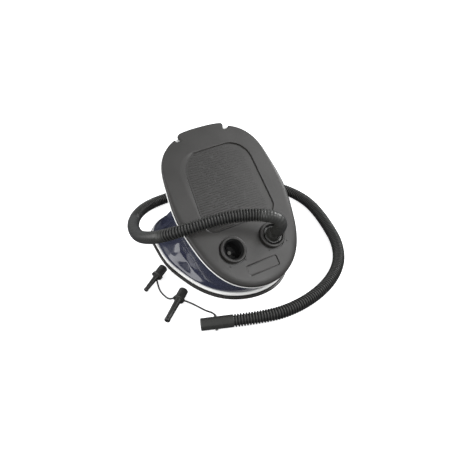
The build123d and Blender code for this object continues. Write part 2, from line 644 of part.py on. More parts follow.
def build():
    """All sub-parts by node name."""
    leaf_low = BASE_SKIN + LEAF_THICKNESS
    leaf_high = UNDER_SKIN - LEAF_THICKNESS
    parts = {
        "base_plate": base_plate(),
        "base_clamp_ring": base_clamp_ring(),
        "lower_hinge_bracket": lower_hinge_bracket(),
        "lower_hinge_screws": Compound(children=hinge_screws(leaf_low, 1, LEAF_THICKNESS + HINGE_SCREW_BITE)),
        "hinge_pin": hinge_pin(),
        "lower_spring_seat": seat(BASE_SKIN, 1),
        "return_spring": return_spring(),
        "bellows": bellows(),
        "treadle_plate": treadle_plate(),
        "treadle_clamp_ring": treadle_clamp_ring(),
        "upper_hinge_bracket": upper_hinge_bracket(),
        "upper_hinge_screws": Compound(
            children=[opened(s) for s in hinge_screws(leaf_high, -1, LEAF_THICKNESS + UPPER_SCREW_BITE)]),
        "upper_spring_seat": opened(seat(UNDER_SKIN, -1)),
        "hose_connector": on_port(hose_connector(), 1),
        "connector_oring": on_port(connector_oring(), 1),
        "hose": cord(hose_points(), HOSE_RADIUS, "hose"),
        "nozzle": nozzle(),
        "large_adapter": large_adapter(),
        "small_adapter": small_adapter(),
        "nozzle_tether": cord([nozzle_lug()] + NOZZLE_TETHER + [large_side(1)], TETHER_RADIUS, "nozzle_tether"),
        "adapter_tether": cord([large_side(-1)] + ADAPTER_TETHER + [small_side(1)], TETHER_RADIUS,
                               "adapter_tether"),
    }
    for side, use in ((-1, "deflate"), (1, "inflate")):
        parts[f"{use}_port"] = on_port(port(side < 0), side)
        parts[f"{use}_port_gasket"] = on_port(port_gasket(), side)
        parts[f"{use}_valve_disc"] = on_port(valve_disc(side), side)
        parts[f"{use}_valve_stud"] = on_port(valve_stud(side), side)
    return parts


os.makedirs("parts", exist_ok=True)
for node, solid in build().items():
    export_step(solid, f"parts/{node}.step")
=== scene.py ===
"""Looks of a bellows foot pump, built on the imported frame.

The frame gives the bodies, the joints and the CAD nodes. Shapes below are written in
millimetres, in the pump's own space: +Z up, +Y from the hinge end to the foot end. Pieces of
the treadle are drawn closed, parallel to the floor, and swung open about the hinge axis.
"""
import json
import logging
import math
from dataclasses import dataclass
from enum import Enum
from typing import Callable, Sequence

import bmesh
import bpy
import numpy as np
from mathutils import Matrix, Vector
from mathutils.geometry import delaunay_2d_cdt
from mathutils.kdtree import KDTree


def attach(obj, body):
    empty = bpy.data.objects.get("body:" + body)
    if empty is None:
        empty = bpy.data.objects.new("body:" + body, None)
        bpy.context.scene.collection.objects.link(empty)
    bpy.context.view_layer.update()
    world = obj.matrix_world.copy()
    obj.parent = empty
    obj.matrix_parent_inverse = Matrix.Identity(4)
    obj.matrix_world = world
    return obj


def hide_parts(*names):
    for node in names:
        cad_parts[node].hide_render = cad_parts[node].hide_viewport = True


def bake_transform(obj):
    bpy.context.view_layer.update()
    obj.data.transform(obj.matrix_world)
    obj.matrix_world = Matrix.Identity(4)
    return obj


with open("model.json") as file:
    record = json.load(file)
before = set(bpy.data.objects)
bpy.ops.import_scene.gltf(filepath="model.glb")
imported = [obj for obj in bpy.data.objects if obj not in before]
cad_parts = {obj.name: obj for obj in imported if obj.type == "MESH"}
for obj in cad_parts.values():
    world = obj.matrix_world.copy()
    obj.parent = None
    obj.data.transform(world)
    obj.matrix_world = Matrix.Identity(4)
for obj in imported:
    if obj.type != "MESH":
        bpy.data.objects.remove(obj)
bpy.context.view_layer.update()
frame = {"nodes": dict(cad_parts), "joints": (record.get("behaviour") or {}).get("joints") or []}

logging.basicConfig(level=logging.INFO, format="%(message)s")
LOG = logging.getLogger("pump")
MM = 0.001
Loop = np.ndarray


class Slot(Enum):
    """Material slots of the record."""

    CHARCOAL = "charcoal_pp"
    WHITE = "white_pp"
    NAVY = "navy_pvc"
    HOSE = "black_pe"
    BLACK = "black_abs"
    RUBBER = "black_rubber"
    NYLON = "natural_nylon"
    SPRING = "spring_steel"
    ZINC = "zinc_steel"


# ---------------------------------------------------------------- finishes


def linear(hex_colour: str) -> tuple[float, float, float, float]:
    """Turn an sRGB hex colour to linear RGBA.

    Args:
        hex_colour: Colour as "#rrggbb".

    Returns:
        Linear red, green, blue and an alpha of 1.
    """
    parts = [int(hex_colour[i : i + 2], 16) / 255 for i in (1, 3, 5)]
    return (*[p / 12.92 if p <= 0.04045 else ((p + 0.055) / 1.055) ** 2.4 for p in parts], 1.0)


def add_node(tree: bpy.types.NodeTree, kind: str, links: dict | None = None,
             **settings: object) -> bpy.types.Node:
    """Add a node to a tree, with its settings and the links into it.

    Args:
        tree: Node tree to add to.
        kind: Blender's node type name.
        links: Input name or number to an output socket, or to a plain value.
        **settings: Attributes of the node.

    Returns:
        The new node.
    """
    node = tree.nodes.new(kind)
    for name, value in settings.items():
        setattr(node, name, value)
    for name, value in (links or {}).items():
        if isinstance(value, bpy.types.NodeSocket):
            tree.links.new(value, node.inputs[name])
        else:
            node.inputs[name].default_value = value
    return node


@dataclass(frozen=True)
class Finish:
    """A solid material with mottled colour, uneven gloss and a fine surface grain.

    Attributes:
        name: Name for the material and how it was made.
        colour: sRGB hex of the middle tone.
        shade: sRGB hex of the darker mottling.
        roughness: Middle roughness.
        roughness_swing: How far the roughness varies either way.
        grain_mm: Size of the surface grain.
        grain_depth_mm: Height of the grain.
        mottle_mm: Size of the colour mottling.
        metallic: 1 for bare metal.
        coat: Weight of a clear glossy skin.
        coat_roughness: Roughness of that skin.
        ior: Index of refraction; None keeps the shader's default.
        sheen: Weight of dusty sheen.
    """

    name: str
    colour: str
    shade: str
    roughness: float
    roughness_swing: float
    grain_mm: float
    grain_depth_mm: float
    mottle_mm: float
    metallic: float = 0.0
    coat: float = 0.0
    coat_roughness: float = 0.06
    ior: float | None = None
    sheen: float = 0.0

    def material(self) -> bpy.types.Material:
        """Make the material from a mottle of two tones, uneven gloss and a bumpy grain.

        Returns:
            The Blender material, made once and then shared.
        """
        made = bpy.data.materials.get(self.name)
        if made:
            return made
        material = bpy.data.materials.new(self.name)
        material.use_nodes = True
        tree = material.node_tree
        shader = tree.nodes["Principled BSDF"]
        place = add_node(tree, "ShaderNodeTexCoord").outputs["Object"]
        mottle = add_node(tree, "ShaderNodeTexNoise", {"Vector": place, "Scale": 1 / (self.mottle_mm * MM),
                                                       "Detail": 4.0, "Roughness": 0.55})
        # a Mix node's colour sockets share their names with its number sockets, so they go by number
        tone = add_node(tree, "ShaderNodeMix", {"Factor": mottle.outputs["Fac"], 6: linear(self.shade),
                                                7: linear(self.colour)}, data_type="RGBA")
        grain = add_node(tree, "ShaderNodeTexNoise", {"Vector": place, "Scale": 1 / (self.grain_mm * MM),
                                                      "Detail": 3.0, "Roughness": 0.6})
        gloss = add_node(tree, "ShaderNodeMapRange", {"Value": mottle.outputs["Fac"], "From Min": 0.3,
                                                      "From Max": 0.7,
                                                      "To Min": self.roughness - self.roughness_swing,
                                                      "To Max": self.roughness + self.roughness_swing})
        bump = add_node(tree, "ShaderNodeBump", {"Height": grain.outputs["Fac"], "Strength": 1.0,
                                                 "Distance": self.grain_depth_mm * MM})
        tree.links.new(tone.outputs[2], shader.inputs["Base Color"])
        tree.links.new(gloss.outputs["Result"], shader.inputs["Roughness"])
        tree.links.new(bump.outputs["Normal"], shader.inputs["Normal"])
        shader.inputs["Metallic"].default_value = self.metallic
        shader.inputs["Coat Weight"].default_value = self.coat
        shader.inputs["Coat Roughness"].default_value = self.coat_roughness
        shader.inputs["Sheen Weight"].default_value = self.sheen
        if self.ior is not None:
            shader.inputs["IOR"].default_value = self.ior
        return material


# Polypropylene from a spark-eroded mould: the fine grain spreads highlights into a soft satin.
CHARCOAL_PP = Finish("charcoal_polypropylene_moulded", "#2c2a28", "#262523", 0.38, 0.05, 0.7, 0.025, 60,
                     ior=1.49)
# The same plastic, white and smoother, as the clamp rings show a clean soft gloss.
WHITE_PP = Finish("white_polypropylene_moulded", "#f0f0ee", "#e8e8e5", 0.34, 0.04, 2.0, 0.01, 30, ior=1.49)
# Calendered vinyl film, dark navy: a glossy skin whose facets flash the lamps.
NAVY_PVC = Finish("navy_vinyl_film_calendered", "#2a2d3c", "#232538", 0.22, 0.05, 5.0, 0.02, 25, coat=0.5,
                  ior=1.53)
# Blow-moulded polyethylene: waxy black, its ridge tops catch a broad pale glint.
HOSE_PE = Finish("black_polyethylene_blow_moulded", "#2b2b28", "#232321", 0.36, 0.05, 1.2, 0.02, 20, ior=1.51)
# The grooves' floors: a darker, duller black, painted shade down in the grooves, so that the ridges stand
# apart.
HOSE_GROOVE_PAINTED_SHADE = Finish("black_polyethylene_groove_painted_shade", "#141413", "#0f0f0e", 0.6, 0.05, 1.2, 0.02, 20, ior=1.51)
# Injection-moulded ABS, polished tool: deeper black with a tighter highlight than the hose.
BLACK_ABS = Finish("black_abs_moulded", "#2a2a27", "#232321", 0.28, 0.05, 1.0, 0.015, 14, ior=1.53)
# The same ABS inside the ports, painted nearly black as the shade in the bores, and rough so that it shows no
# glint.
PORT_INSIDE_PAINTED_SHADE = Finish("black_abs_port_painted_shade", "#0b0b0b", "#070707", 0.9, 0.05, 1.0, 0.01, 14, ior=1.47)
# Moulded nitrile: matt and slightly dusty.
RUBBER = Finish("black_nitrile_moulded", "#232322", "#1c1c1b", 0.7, 0.06, 0.8, 0.03, 8, ior=1.52, sheen=0.1)
# Natural nylon, painted a dull warm grey for the shade it sits in, so that the valve studs only just show in
# the dark ports.
NYLON = Finish("natural_nylon_painted_shade", "#4c4b45", "#42413b", 0.45, 0.05, 1.0, 0.01, 5, ior=1.53)
# Hard-drawn wire with an oil film: grey with an uneven soft shine.
SPRING_STEEL = Finish("spring_steel_oiled", "#8c8c8a", "#6d6d6b", 0.35, 0.08, 1.5, 0.02, 12, metallic=1.0)
# Zinc plate, passivated: pale metal with cloudy patches.
ZINC = Finish("steel_zinc_plated", "#b9bab6", "#9d9f9b", 0.3, 0.08, 1.5, 0.01, 6, metallic=1.0)

FINISH_OF: dict[Slot, Finish] = {
    Slot.CHARCOAL: CHARCOAL_PP, Slot.WHITE: WHITE_PP, Slot.NAVY: NAVY_PVC, Slot.HOSE: HOSE_PE,
    Slot.BLACK: BLACK_ABS, Slot.RUBBER: RUBBER, Slot.NYLON: NYLON, Slot.SPRING: SPRING_STEEL, Slot.ZINC: ZINC,
}


# ---------------------------------------------------------------- geometry helpers


@dataclass(frozen=True)
class Hinge:
    """The treadle's hinge, and how far it stands open.

    Attributes:
        y: Axis position, millimetres.
        z: Axis height, millimetres.
        angle: Opening angle at rest, radians.
    """

    y: float
    z: float
    angle: float

    @classmethod
    def from_frame(cls) -> "Hinge":
        """Read the hinge and the port axis from the frame's joints.

        Returns:
            The hinge, in millimetres and radians.
        """
        joints = {j["name"]: j for j in frame["joints"]}
        place = joints["treadle_hinge"]["pos_m"]
        axis = joints["connector_twist"]["axis"]
        return cls(place[1] / MM, place[2] / MM, math.atan2(-axis[1], axis[2]))

    def opened(self, points: np.ndarray, share: float | np.ndarray = 1.0) -> np.ndarray:
        """Swing points drawn closed towards their open places.

        Args:
            points: Points in millimetres, one per row.
            share: Share of the opening angle, one value or one per point.

        Returns:
            The points in millimetres.
        """
        turn = self.angle * share
        dy, dz = points[:, 1] - self.y, points[:, 2] - self.z
        y = self.y + dy * np.cos(turn) - dz * np.sin(turn)
        z = self.z + dy * np.sin(turn) + dz * np.cos(turn)
        return np.column_stack([points[:, 0], y, z])


HINGE = Hinge.from_frame()


class Shape:
    """A mesh in the making, in millimetres."""

    def __init__(self) -> None:
        """Start with no points and no faces."""
        self.points: list[np.ndarray] = []
        self.faces: list[tuple[int, ...]] = []
        self.count = 0

    def add(self, points: np.ndarray) -> list[int]:
        """Add points.

        Args:
            points: Points, one per row.

        Returns:
            Their numbers.
        """
        points = np.asarray(points, float).reshape(-1, 3)
        self.points.append(points)
        self.count += len(points)
        return list(range(self.count - len(points), self.count))

    def bridge(self, first: Sequence[int], second: Sequence[int], closed: bool = True) -> None:
        """Join two rows of as many points with quads.

        Args:
            first: Numbers of one row's points.
            second: Numbers of the other's.
            closed: Whether the rows are rings.
        """
        n = len(first)
        for i in range(n if closed else n - 1):
            j = (i + 1) % n
            self.faces.append((first[i], first[j], second[j], second[i]))

    def skin(self, rows: Sequence[np.ndarray]) -> list[list[int]]:
        """Join closed loops one after another.

        Args:
            rows: Loops with as many points each.

        Returns:
            The numbers of each loop's points.
        """
        rings = [self.add(row) for row in rows]
        for before, after in zip(rings, rings[1:]):
            self.bridge(before, after)
        return rings

    def cap(self, ring: Sequence[int]) -> None:
        """Close a convex ring with a fan about its middle.

        Args:
            ring: Numbers of its points.
        """
        points = np.concatenate(self.points)[list(ring)]
        middle = self.add(points.mean(axis=0))[0]
        for i, here in enumerate(ring):
            self.faces.append((here, ring[(i + 1) % len(ring)], middle))

    def sheet(self, outer: Loop, holes: Sequence[Loop], z: float) -> None:
        """Fill a flat outline, less its holes, at a height.

        Args:
            outer: Outline, X and Y.
            holes: Outlines to leave open.
            z: Height.
        """
        loops = [outer[:, :2], *[hole[:, :2] for hole in holes]]
        points, edges, start = [], [], 0
        for loop in loops:
            points += [Vector(p) for p in loop]
            edges += [(start + i, start + (i + 1) % len(loop)) for i in range(len(loop))]
            start += len(loop)
        found, _, faces, *_ = delaunay_2d_cdt(points, edges, [], 1, 1e-6)
        numbers = self.add(np.array([[p.x, p.y, z] for p in found]))
        for face in faces:
            middle = sum((found[i] for i in face), Vector((0, 0))) / len(face)
            if not any(inside(middle, hole) for hole in holes):
                self.faces.append(tuple(numbers[i] for i in face))

    def block(self, centre: Sequence[float], size: Sequence[float], turn: float = 0.0) -> None:
        """Add a box turned about Z through the origin.

        Args:
            centre: Middle of the box before the turn.
            size: Its sides.
            turn: Angle in radians.
        """
        ends = [np.array(centre) + np.array(size) / 2 * s for s in (-1, 1)]
        corners = np.array([[ends[i][0], ends[j][1], ends[k][2]] for k in (0, 1) for i, j in
                            ((0, 0), (1, 0), (1, 1), (0, 1))])
        n = self.add(turned(corners, turn))
        self.bridge(n[:4], n[4:])
        self.faces += [tuple(reversed(n[:4])), tuple(n[4:])]

    def make(self, name: str, place: Callable[[np.ndarray], np.ndarray] | None = None,
             sharp: float = 40.0) -> bpy.types.Object:
        """Make the Blender object, welded, facing outwards and smooth up to an angle.

        Args:
            name: Name of the piece.
            place: Moves the points to the row frame, in millimetres.
            sharp: Edges sharper than this many degrees stay crisp.

        Returns:
            The object, linked to the scene.
        """
        points = np.concatenate(self.points)
        if place:
            points = place(points)
        mesh = bpy.data.meshes.new(name)
        mesh.from_pydata((points * MM).tolist(), [], self.faces)
        mesh.validate()
        obj = bpy.data.objects.new(name, mesh)
        bpy.context.scene.collection.objects.link(obj)
        bpy.context.view_layer.objects.active = obj
        tidy_mesh(mesh)
        mesh.shade_smooth()
        mesh.set_sharp_from_angle(angle=math.radians(sharp))
        return obj


def tidy_mesh(mesh: bpy.types.Mesh) -> None:
    """Weld points that meet and turn all faces outwards.

    Args:
        mesh: The mesh to change.
    """
    work = bmesh.new()
    work.from_mesh(mesh)
    bmesh.ops.remove_doubles(work, verts=work.verts, dist=1e-6)
    bmesh.ops.recalc_face_normals(work, faces=work.faces)
    work.to_mesh(mesh)
    work.free()


def inside(point: Vector, loop: Loop) -> bool:
    """Whether a point lies in a closed outline.

    Args:
        point: The point.
        loop: X and Y of the outline.

    Returns:
        True if it does.
    """
    x, y = loop[:, 0], loop[:, 1]
    nx, ny = np.roll(x, -1), np.roll(y, -1)
    cross = (y > point.y) != (ny > point.y)
    at = x + (point.y - y) / np.where(ny == y, 1, ny - y) * (nx - x)
    return bool(np.count_nonzero(cross & (point.x < at)) % 2)


def turned(points: np.ndarray, angle: float) -> np.ndarray:
    """Turn points about Z.

    Args:
        points: Points, one per row.
        angle: Angle in radians.

    Returns:
        The points after the turn.
    """
    c, s = math.cos(angle), math.sin(angle)
    return np.column_stack([points[:, 0] * c - points[:, 1] * s, points[:, 0] * s + points[:, 1] * c,
                            points[:, 2]])


def smooth(share: np.ndarray | float) -> np.ndarray:
    """Smooth step from 0 to 1."""
    share = np.clip(share, 0, 1)
    return share * share * (3 - 2 * share)


def circle(radius: float | np.ndarray, z: float, count: int, x: float = 0.0, y: float = 0.0) -> Loop:
    """A round loop.

    Args:
        radius: Radius, one value or one per point.
        z: Height.
        count: Number of points.
        x: Centre.
        y: Centre.

    Returns:
        The loop's points.
    """
    angle = np.arange(count) * 2 * np.pi / count
    return np.column_stack([x + radius * np.cos(angle), y + radius * np.sin(angle), np.full(count, z)])


def rounded_box(width: float, low: float, high: float, near: float, far: float, count: int = 10) -> Loop:
    """An upright rounded rectangle about X = 0, clockwise.

    Args:
        width: Full width.
        low: Near side's Y.
        high: Far side's Y.
        near: Corner radius at the near side.
        far: Corner radius at the far side.
        count: Points to a corner.

    Returns:
        The loop's X and Y.
    """
    points = []
    corners = [(1, high, far, 90), (1, low, near, 0), (-1, low, near, 270), (-1, high, far, 180)]
    for side, y, radius, start in corners:
        centre = (side * (width / 2 - radius), y - math.copysign(radius, y - (low + high) / 2))
        for k in range(count + 1):
            angle = math.radians(start - 90 * k / count)
            points.append((centre[0] + radius * math.cos(angle), centre[1] + radius * math.sin(angle)))
    return np.array(points)


def dress(obj: bpy.types.Object, slot: Slot, body: str | None, *nodes: str) -> bpy.types.Object:
    """Give a piece its finish, its body and the CAD nodes that it stands for.

    Args:
        obj: The piece.
        slot: Its material slot.
        body: Body it rides on, or None to leave it on none.
        *nodes: CAD nodes that it replaces.

    Returns:
        The piece.
    """
    obj.data.materials.clear()
    obj.data.materials.append(FINISH_OF[slot].material())
    if body:
        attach(obj, body)
    if nodes:
        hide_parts(*nodes)
    LOG.info("%s: %d points, rides on %s", obj.name, len(obj.data.vertices), body or "its blend")
    return obj


def tree_of(points: np.ndarray) -> KDTree:
    """Index points so that the nearest of them can be found.

    Args:
        points: Points in millimetres, one per row.

    Returns:
        The index.
    """
    tree = KDTree(len(points))
    for i, point in enumerate(points):
        tree.insert(point, i)
    tree.balance()
    return tree


def share_swing(obj: bpy.types.Object, points: np.ndarray, shares: np.ndarray) -> None:
    """Work out for each vertex of a piece the share of the swing of its nearest drawn point; the shares are
    not kept.

    Args:
        obj: The piece, which lies between the base and the treadle.
        points: Drawn points in millimetres.
        shares: Share of the treadle's swing that each takes.
    """
    tree = tree_of(points)
    weights = np.array([shares[tree.find(v.co / MM)[1]] for v in obj.data.vertices], np.float32)


# ---------------------------------------------------------------- outline of the plates


@dataclass(frozen=True)
class Oval:
    """The plates' outline, broad at the foot end and narrower at the hinge end.

    Attributes:
        width: Full width of the treadle.
        length: Full length of the treadle.
        half: Half outline as shares of the half width and half length, foot end first.
        count: Points around.
        notch_x: Places of the two notches.
        notch_deep: Depth of a notch from the oval.
        notch_half: Half of a notch's width at its mouth.
        tab_reach: How far the tab between the notches stands out.
        tab_round: Rounding of the tab's two ends.
        tab_over: How far the tab's ends overhang the notches, which cut in as far beneath them.
        blunt: How far the foot end is drawn in by its moulded edge.
    """

    width: float = 218.4
    length: float = 300.0
    half: tuple[tuple[float, float], ...] = (
        (0.0, 1.0), (0.331, 0.987), (0.646, 0.903), (0.858, 0.713), (0.953, 0.412), (1.0, 0.025),
        (0.954, -0.235), (0.849, -0.529), (0.589, -0.831), (0.257, -0.972), (0.0, -1.0),
    )
    count: int = 360
    notch_x: float = 49.0
    notch_deep: float = 6.2
    notch_half: float = 5.4
    tab_reach: float = 5.6
    tab_round: float = 5.0
    tab_over: float = 1.2
    blunt: float = 3.6

    def knots(self, grow: float) -> np.ndarray:
        """Points that the outline passes through.

        Args:
            grow: How far to move them out.

        Returns:
            X and Y, clockwise from the foot end.
        """
        half = [(x * self.width / 2, y * self.length / 2) for x, y in self.half]
        ring = np.array(half + [(-x, y) for x, y in half[-2:0:-1]])
        along = np.roll(ring, -1, axis=0) - np.roll(ring, 1, axis=0)
        along /= np.linalg.norm(along, axis=1)[:, None]
        return ring + grow * np.column_stack([-along[:, 1], along[:, 0]])

    def loop(self, grow: float = 0.0) -> Loop:
        """Smooth closed outline, clockwise from the foot end.

        Args:
            grow: How far to move it out.

        Returns:
            X and Y of evenly spaced points.
        """
        knots = self.knots(grow)
        n = len(knots)
        spans = np.linalg.norm(np.roll(knots, -1, axis=0) - knots, axis=1)
        slopes = self.slopes(knots, spans)
        per = 24
        dense = []
        for i in range(n):
            a, b, h = knots[i], knots[(i + 1) % n], spans[i]
            for u in np.arange(per) / per:
                curve = (2 * u**3 - 3 * u**2 + 1) * a + (u**3 - 2 * u**2 + u) * h * slopes[i]
                dense.append(curve + (3 * u**2 - 2 * u**3) * b + (u**3 - u**2) * h * slopes[(i + 1) % n])
        dense = np.array(dense + [dense[0]])
        run = np.concatenate([[0], np.cumsum(np.linalg.norm(np.diff(dense, axis=0), axis=1))])
        at = np.arange(self.count) / self.count * run[-1]
        even = np.column_stack([np.interp(at, run, dense[:, k]) for k in (0, 1)])
        even[:, 1] -= self.blunt * smooth((even[:, 1] - 30) / 120)
        return even

    @staticmethod
    def slopes(knots: np.ndarray, spans: np.ndarray) -> np.ndarray:
        """Slopes of the periodic cubic through the knots.

        Args:
            knots: Points that it passes through.
            spans: Distance from each to the next.

        Returns:
            Its slope at each.
        """
        n = len(knots)
        system, right = np.zeros((n, n)), np.zeros((n, 2))
        for i in range(n):
            before, here = spans[i - 1], spans[i]
            system[i, i - 1] += here
            system[i, i] += 2 * (before + here)
            system[i, (i + 1) % n] += before
            right[i] = 3 * (here * (knots[i] - knots[i - 1]) / before
                            + before * (knots[(i + 1) % n] - knots[i]) / here)
        return np.linalg.solve(system, right)

    def plate(self, grow: float = 0.0) -> Loop:
        """Outline with the grip tab and its two notches, clockwise.

        Args:
            grow: How far the oval is moved out; the notches keep their size.

        Returns:
            X and Y.
        """
        oval = self.loop(grow)
        mouth = self.notch_x + self.notch_half
        side = oval[(np.abs(oval[:, 0]) > mouth + 0.5) | (oval[:, 1] < 0)]
        break_at = int(np.argmax(np.linalg.norm(side - np.roll(side, 1, axis=0), axis=1)))
        top = oval[oval[:, 1] > 0]
        top = top[np.argsort(top[:, 0])]
        right = np.array(self.half_tab(top) + self.notch(top))
        left = right[:0:-1] * (-1, 1)
        return np.concatenate([left, right, np.roll(side, -break_at, axis=0)])

    @staticmethod
    def edge(top: Loop, x: float) -> float:
        """Y of the foot end's plain edge at x."""
        return float(np.interp(x, top[:, 0], top[:, 1]))

    def half_tab(self, top: Loop) -> list[tuple[float, float]]:
        """Right half of the grip tab, from its middle round its end.

        Args:
            top: The foot end's plain edge, by X.

        Returns:
            X and Y of its points.
        """
        r, end = self.tab_round, self.notch_x - self.notch_half + self.tab_over
        points = [(x, self.edge(top, x) + self.tab_reach) for x in np.linspace(0, end - r, 16)]
        rim = self.edge(top, end - r) + self.tab_reach - r
        turns = np.linspace(0.3, 2.0, 8)
        return points + [(end - r + r * math.sin(a), rim + r * math.cos(a)) for a in turns]

    def notch(self, top: Loop) -> list[tuple[float, float]]:
        """Right notch: a flat bottom with rounded corners, and an eased outer lip.

        Args:
            top: The foot end's plain edge, by X.

        Returns:
            X and Y of its points.
        """
        low = self.edge(top, self.notch_x) - self.notch_deep
        near, far = self.notch_x - self.notch_half - self.tab_over, self.notch_x + self.notch_half - 2.0
        mouth = self.notch_x + self.notch_half
        points = [(near + 0.1, low + 3.2), (near, low + 1.9), (near + 0.5, low + 0.8),
                  (near + 1.6, low + 0.15),
                  (near + 3.0, low), (far - 1.0, low), (far, low + 0.2), (far + 0.9, low + 0.9)]
        lip = [(mouth - 1.0, self.edge(top, mouth) - 1.6), (mouth - 0.2, self.edge(top, mouth) - 0.4),
               (mouth + 0.2, self.edge(top, mouth + 0.2))]
        return points + lip


def inset(loop: Loop, amount: np.ndarray | float) -> Loop:
    """Move a clockwise outline inwards along its normals.

    Args:
        loop: X and Y.
        amount: Distance, one value or one per point.

    Returns:
        X and Y.
    """
    along = np.roll(loop, -1, axis=0) - np.roll(loop, 1, axis=0)
    along /= np.linalg.norm(along, axis=1)[:, None]
    return loop + np.column_stack([along[:, 1], -along[:, 0]]) * np.reshape(amount, (-1, 1))


def at_height(loop: Loop, z: np.ndarray | float) -> Loop:
    """A flat outline at a height, one value or one per point."""
    return np.column_stack([loop[:, 0], loop[:, 1], np.broadcast_to(z, len(loop))])


OVAL = Oval()


# ---------------------------------------------------------------- the camera and the light


@dataclass(frozen=True)
class Studio:
    """Camera, lights, floor and background.

    Attributes:
        focal: Focal length, millimetres.
        sensor: Width of the sensor, millimetres.
        eye: Where the camera stands, metres.
        right: The camera's own X axis.
        up: Its own Y axis.
        back: Its own Z axis, which points away from the pump.
        floor_half: Half of the floor's width, metres.
    """

    focal: float = 45.31
    sensor: float = 36
    eye: tuple[float, float, float] = (-0.45183, -0.75752, 0.68369)
    right: tuple[float, float, float] = (0.8465, -0.5324, 0)
    up: tuple[float, float, float] = (0.3121, 0.4962, 0.8101)
    back: tuple[float, float, float] = (-0.4313, -0.6858, 0.5862)
    floor_half: float = 6

    def camera(self) -> None:
        """Stand the camera above the hinge end, to the left."""
        lens = bpy.data.cameras.new("camera")
        lens.lens = self.focal
        lens.sensor_width = self.sensor
        lens.clip_start = 0.01
        camera = bpy.data.objects.new("camera", lens)
        turn = Matrix((self.right, self.up, self.back)).transposed().to_quaternion()
        camera.matrix_world = Matrix.LocRotScale(Vector(self.eye), turn, None)
        bpy.context.scene.collection.objects.link(camera)
        bpy.context.scene.camera = camera

    @staticmethod
    def lamp(name: str, place: Sequence[float], target: Sequence[float], size: float, watts: float) -> None:
        """Add a square soft lamp.

        Args:
            name: Its name.
            place: Where it hangs, metres.
            target: What it faces, metres.
            size: Side of the square, metres.
            watts: Power.
        """
        light = bpy.data.lights.new(name, "AREA")
        light.size = size
        light.energy = watts
        lamp = bpy.data.objects.new(name, light)
        lamp.location = place
        lamp.rotation_euler = (Vector(place) - Vector(target)).to_track_quat("Z", "Y").to_euler()
        bpy.context.scene.collection.objects.link(lamp)

    @staticmethod
    def background() -> None:
        """White surround: plain white where the camera sees it, softer where surfaces are lit by it."""
        world = bpy.data.worlds.new("white_studio")
        bpy.context.scene.world = world
        world.use_nodes = True
        tree = world.node_tree
        tree.nodes.clear()
        path = add_node(tree, "ShaderNodeLightPath")
        lit = add_node(tree, "ShaderNodeBackground", {"Color": linear("#f6f8fb"), "Strength": 0.7})
        seen = add_node(tree, "ShaderNodeBackground", {"Color": linear("#ffffff"), "Strength": 1.0})
        mixed = add_node(tree, "ShaderNodeMixShader", {0: path.outputs["Is Camera Ray"], 1: lit.outputs[0],
                                                       2: seen.outputs[0]})
        add_node(tree, "ShaderNodeOutputWorld", {0: mixed.outputs[0]})

    def floor(self) -> None:
        """White floor that keeps only a faint shadow."""
        mesh = bpy.data.meshes.new("floor")
        far = self.floor_half
        mesh.from_pydata([(-far, -far, 0), (far, -far, 0), (far, far, 0), (-far, far, 0)], [], [(0, 1, 2, 3)])
        floor = bpy.data.objects.new("floor", mesh)
        bpy.context.scene.collection.objects.link(floor)
        paper = bpy.data.materials.new("white_paper_sweep")
        paper.use_nodes = True
        tree = paper.node_tree
        tree.nodes.clear()
        path = add_node(tree, "ShaderNodeLightPath")
        sheet = add_node(tree, "ShaderNodeBsdfDiffuse", {"Color": linear("#e6e6e6")})
        glow = add_node(tree, "ShaderNodeEmission", {"Color": linear("#ffffff"), "Strength": 0.72})
        seen = add_node(tree, "ShaderNodeAddShader", {0: sheet.outputs[0], 1: glow.outputs[0]})
        dim = add_node(tree, "ShaderNodeBsdfDiffuse", {"Color": linear("#5a5c62")})
        lit = add_node(tree, "ShaderNodeMixShader", {0: path.outputs["Is Glossy Ray"], 1: sheet.outputs[0],
                                                     2: dim.outputs[0]})
        mixed = add_node(tree, "ShaderNodeMixShader", {0: path.outputs["Is Camera Ray"], 1: lit.outputs[0],
                                                       2: seen.outputs[0]})
        add_node(tree, "ShaderNodeOutputMaterial", {0: mixed.outputs[0]})
        mesh.materials.append(paper)

    def light(self) -> None:
        """Key from the right, glare over the hinge end, fill from the left, edge behind the bellows."""
        self.lamp("key", (1.6, -0.15, 1.25), (0, 0, 0.1), 0.7, 24)
        self.lamp("glare", (0.75, -1.25, 1.3), (0.05, -0.1, 0.1), 0.8, 10)
        self.lamp("fill", (-1.9, -1.2, 0.9), (0, 0, 0.1), 1.6, 18)
        self.lamp("edge", (-1.5, 0.55, 0.6), (-0.05, 0, 0.08), 1.7, 24)


# ---------------------------------------------------------------- cords


@dataclass(frozen=True)
class Route:
    """Centreline of a cord.

    Attributes:
        name: Name of the piece and of the CAD node.
        points: Control points of its line, millimetres.
        length: Its real length, millimetres; not used.
        diameter: Its diameter, millimetres.
    """

    name: str
    points: tuple[tuple[float, float, float], ...]
    length: float
    diameter: float

    def curve(self) -> bpy.types.Object:
        """Make the line as a NURBS spline, with no thickness.

        Returns:
            The curve object.
        """
        data = bpy.data.curves.new(self.name, "CURVE")
        data.dimensions = "3D"
        data.resolution_u = 24
        spline = data.splines.new("NURBS")
        spline.points.add(len(self.points) - 1)
        for point, place in zip(spline.points, self.points):
            point.co = (*[value * MM for value in place], 1)
        spline.order_u = 3
        spline.use_endpoint_u = True
        obj = bpy.data.objects.new(f"{self.name}_strap", data)
        bpy.context.scene.collection.objects.link(obj)
        return obj

    def line(self) -> np.ndarray:
        """Read points from the line.

        Returns:
            The points in millimetres, one per row.
        """
        obj = self.curve()
        bpy.context.view_layer.update()
        mesh = bpy.data.meshes.new_from_object(obj)
        points = np.array([v.co for v in mesh.vertices]) / MM
        bpy.data.objects.remove(obj)
        return points


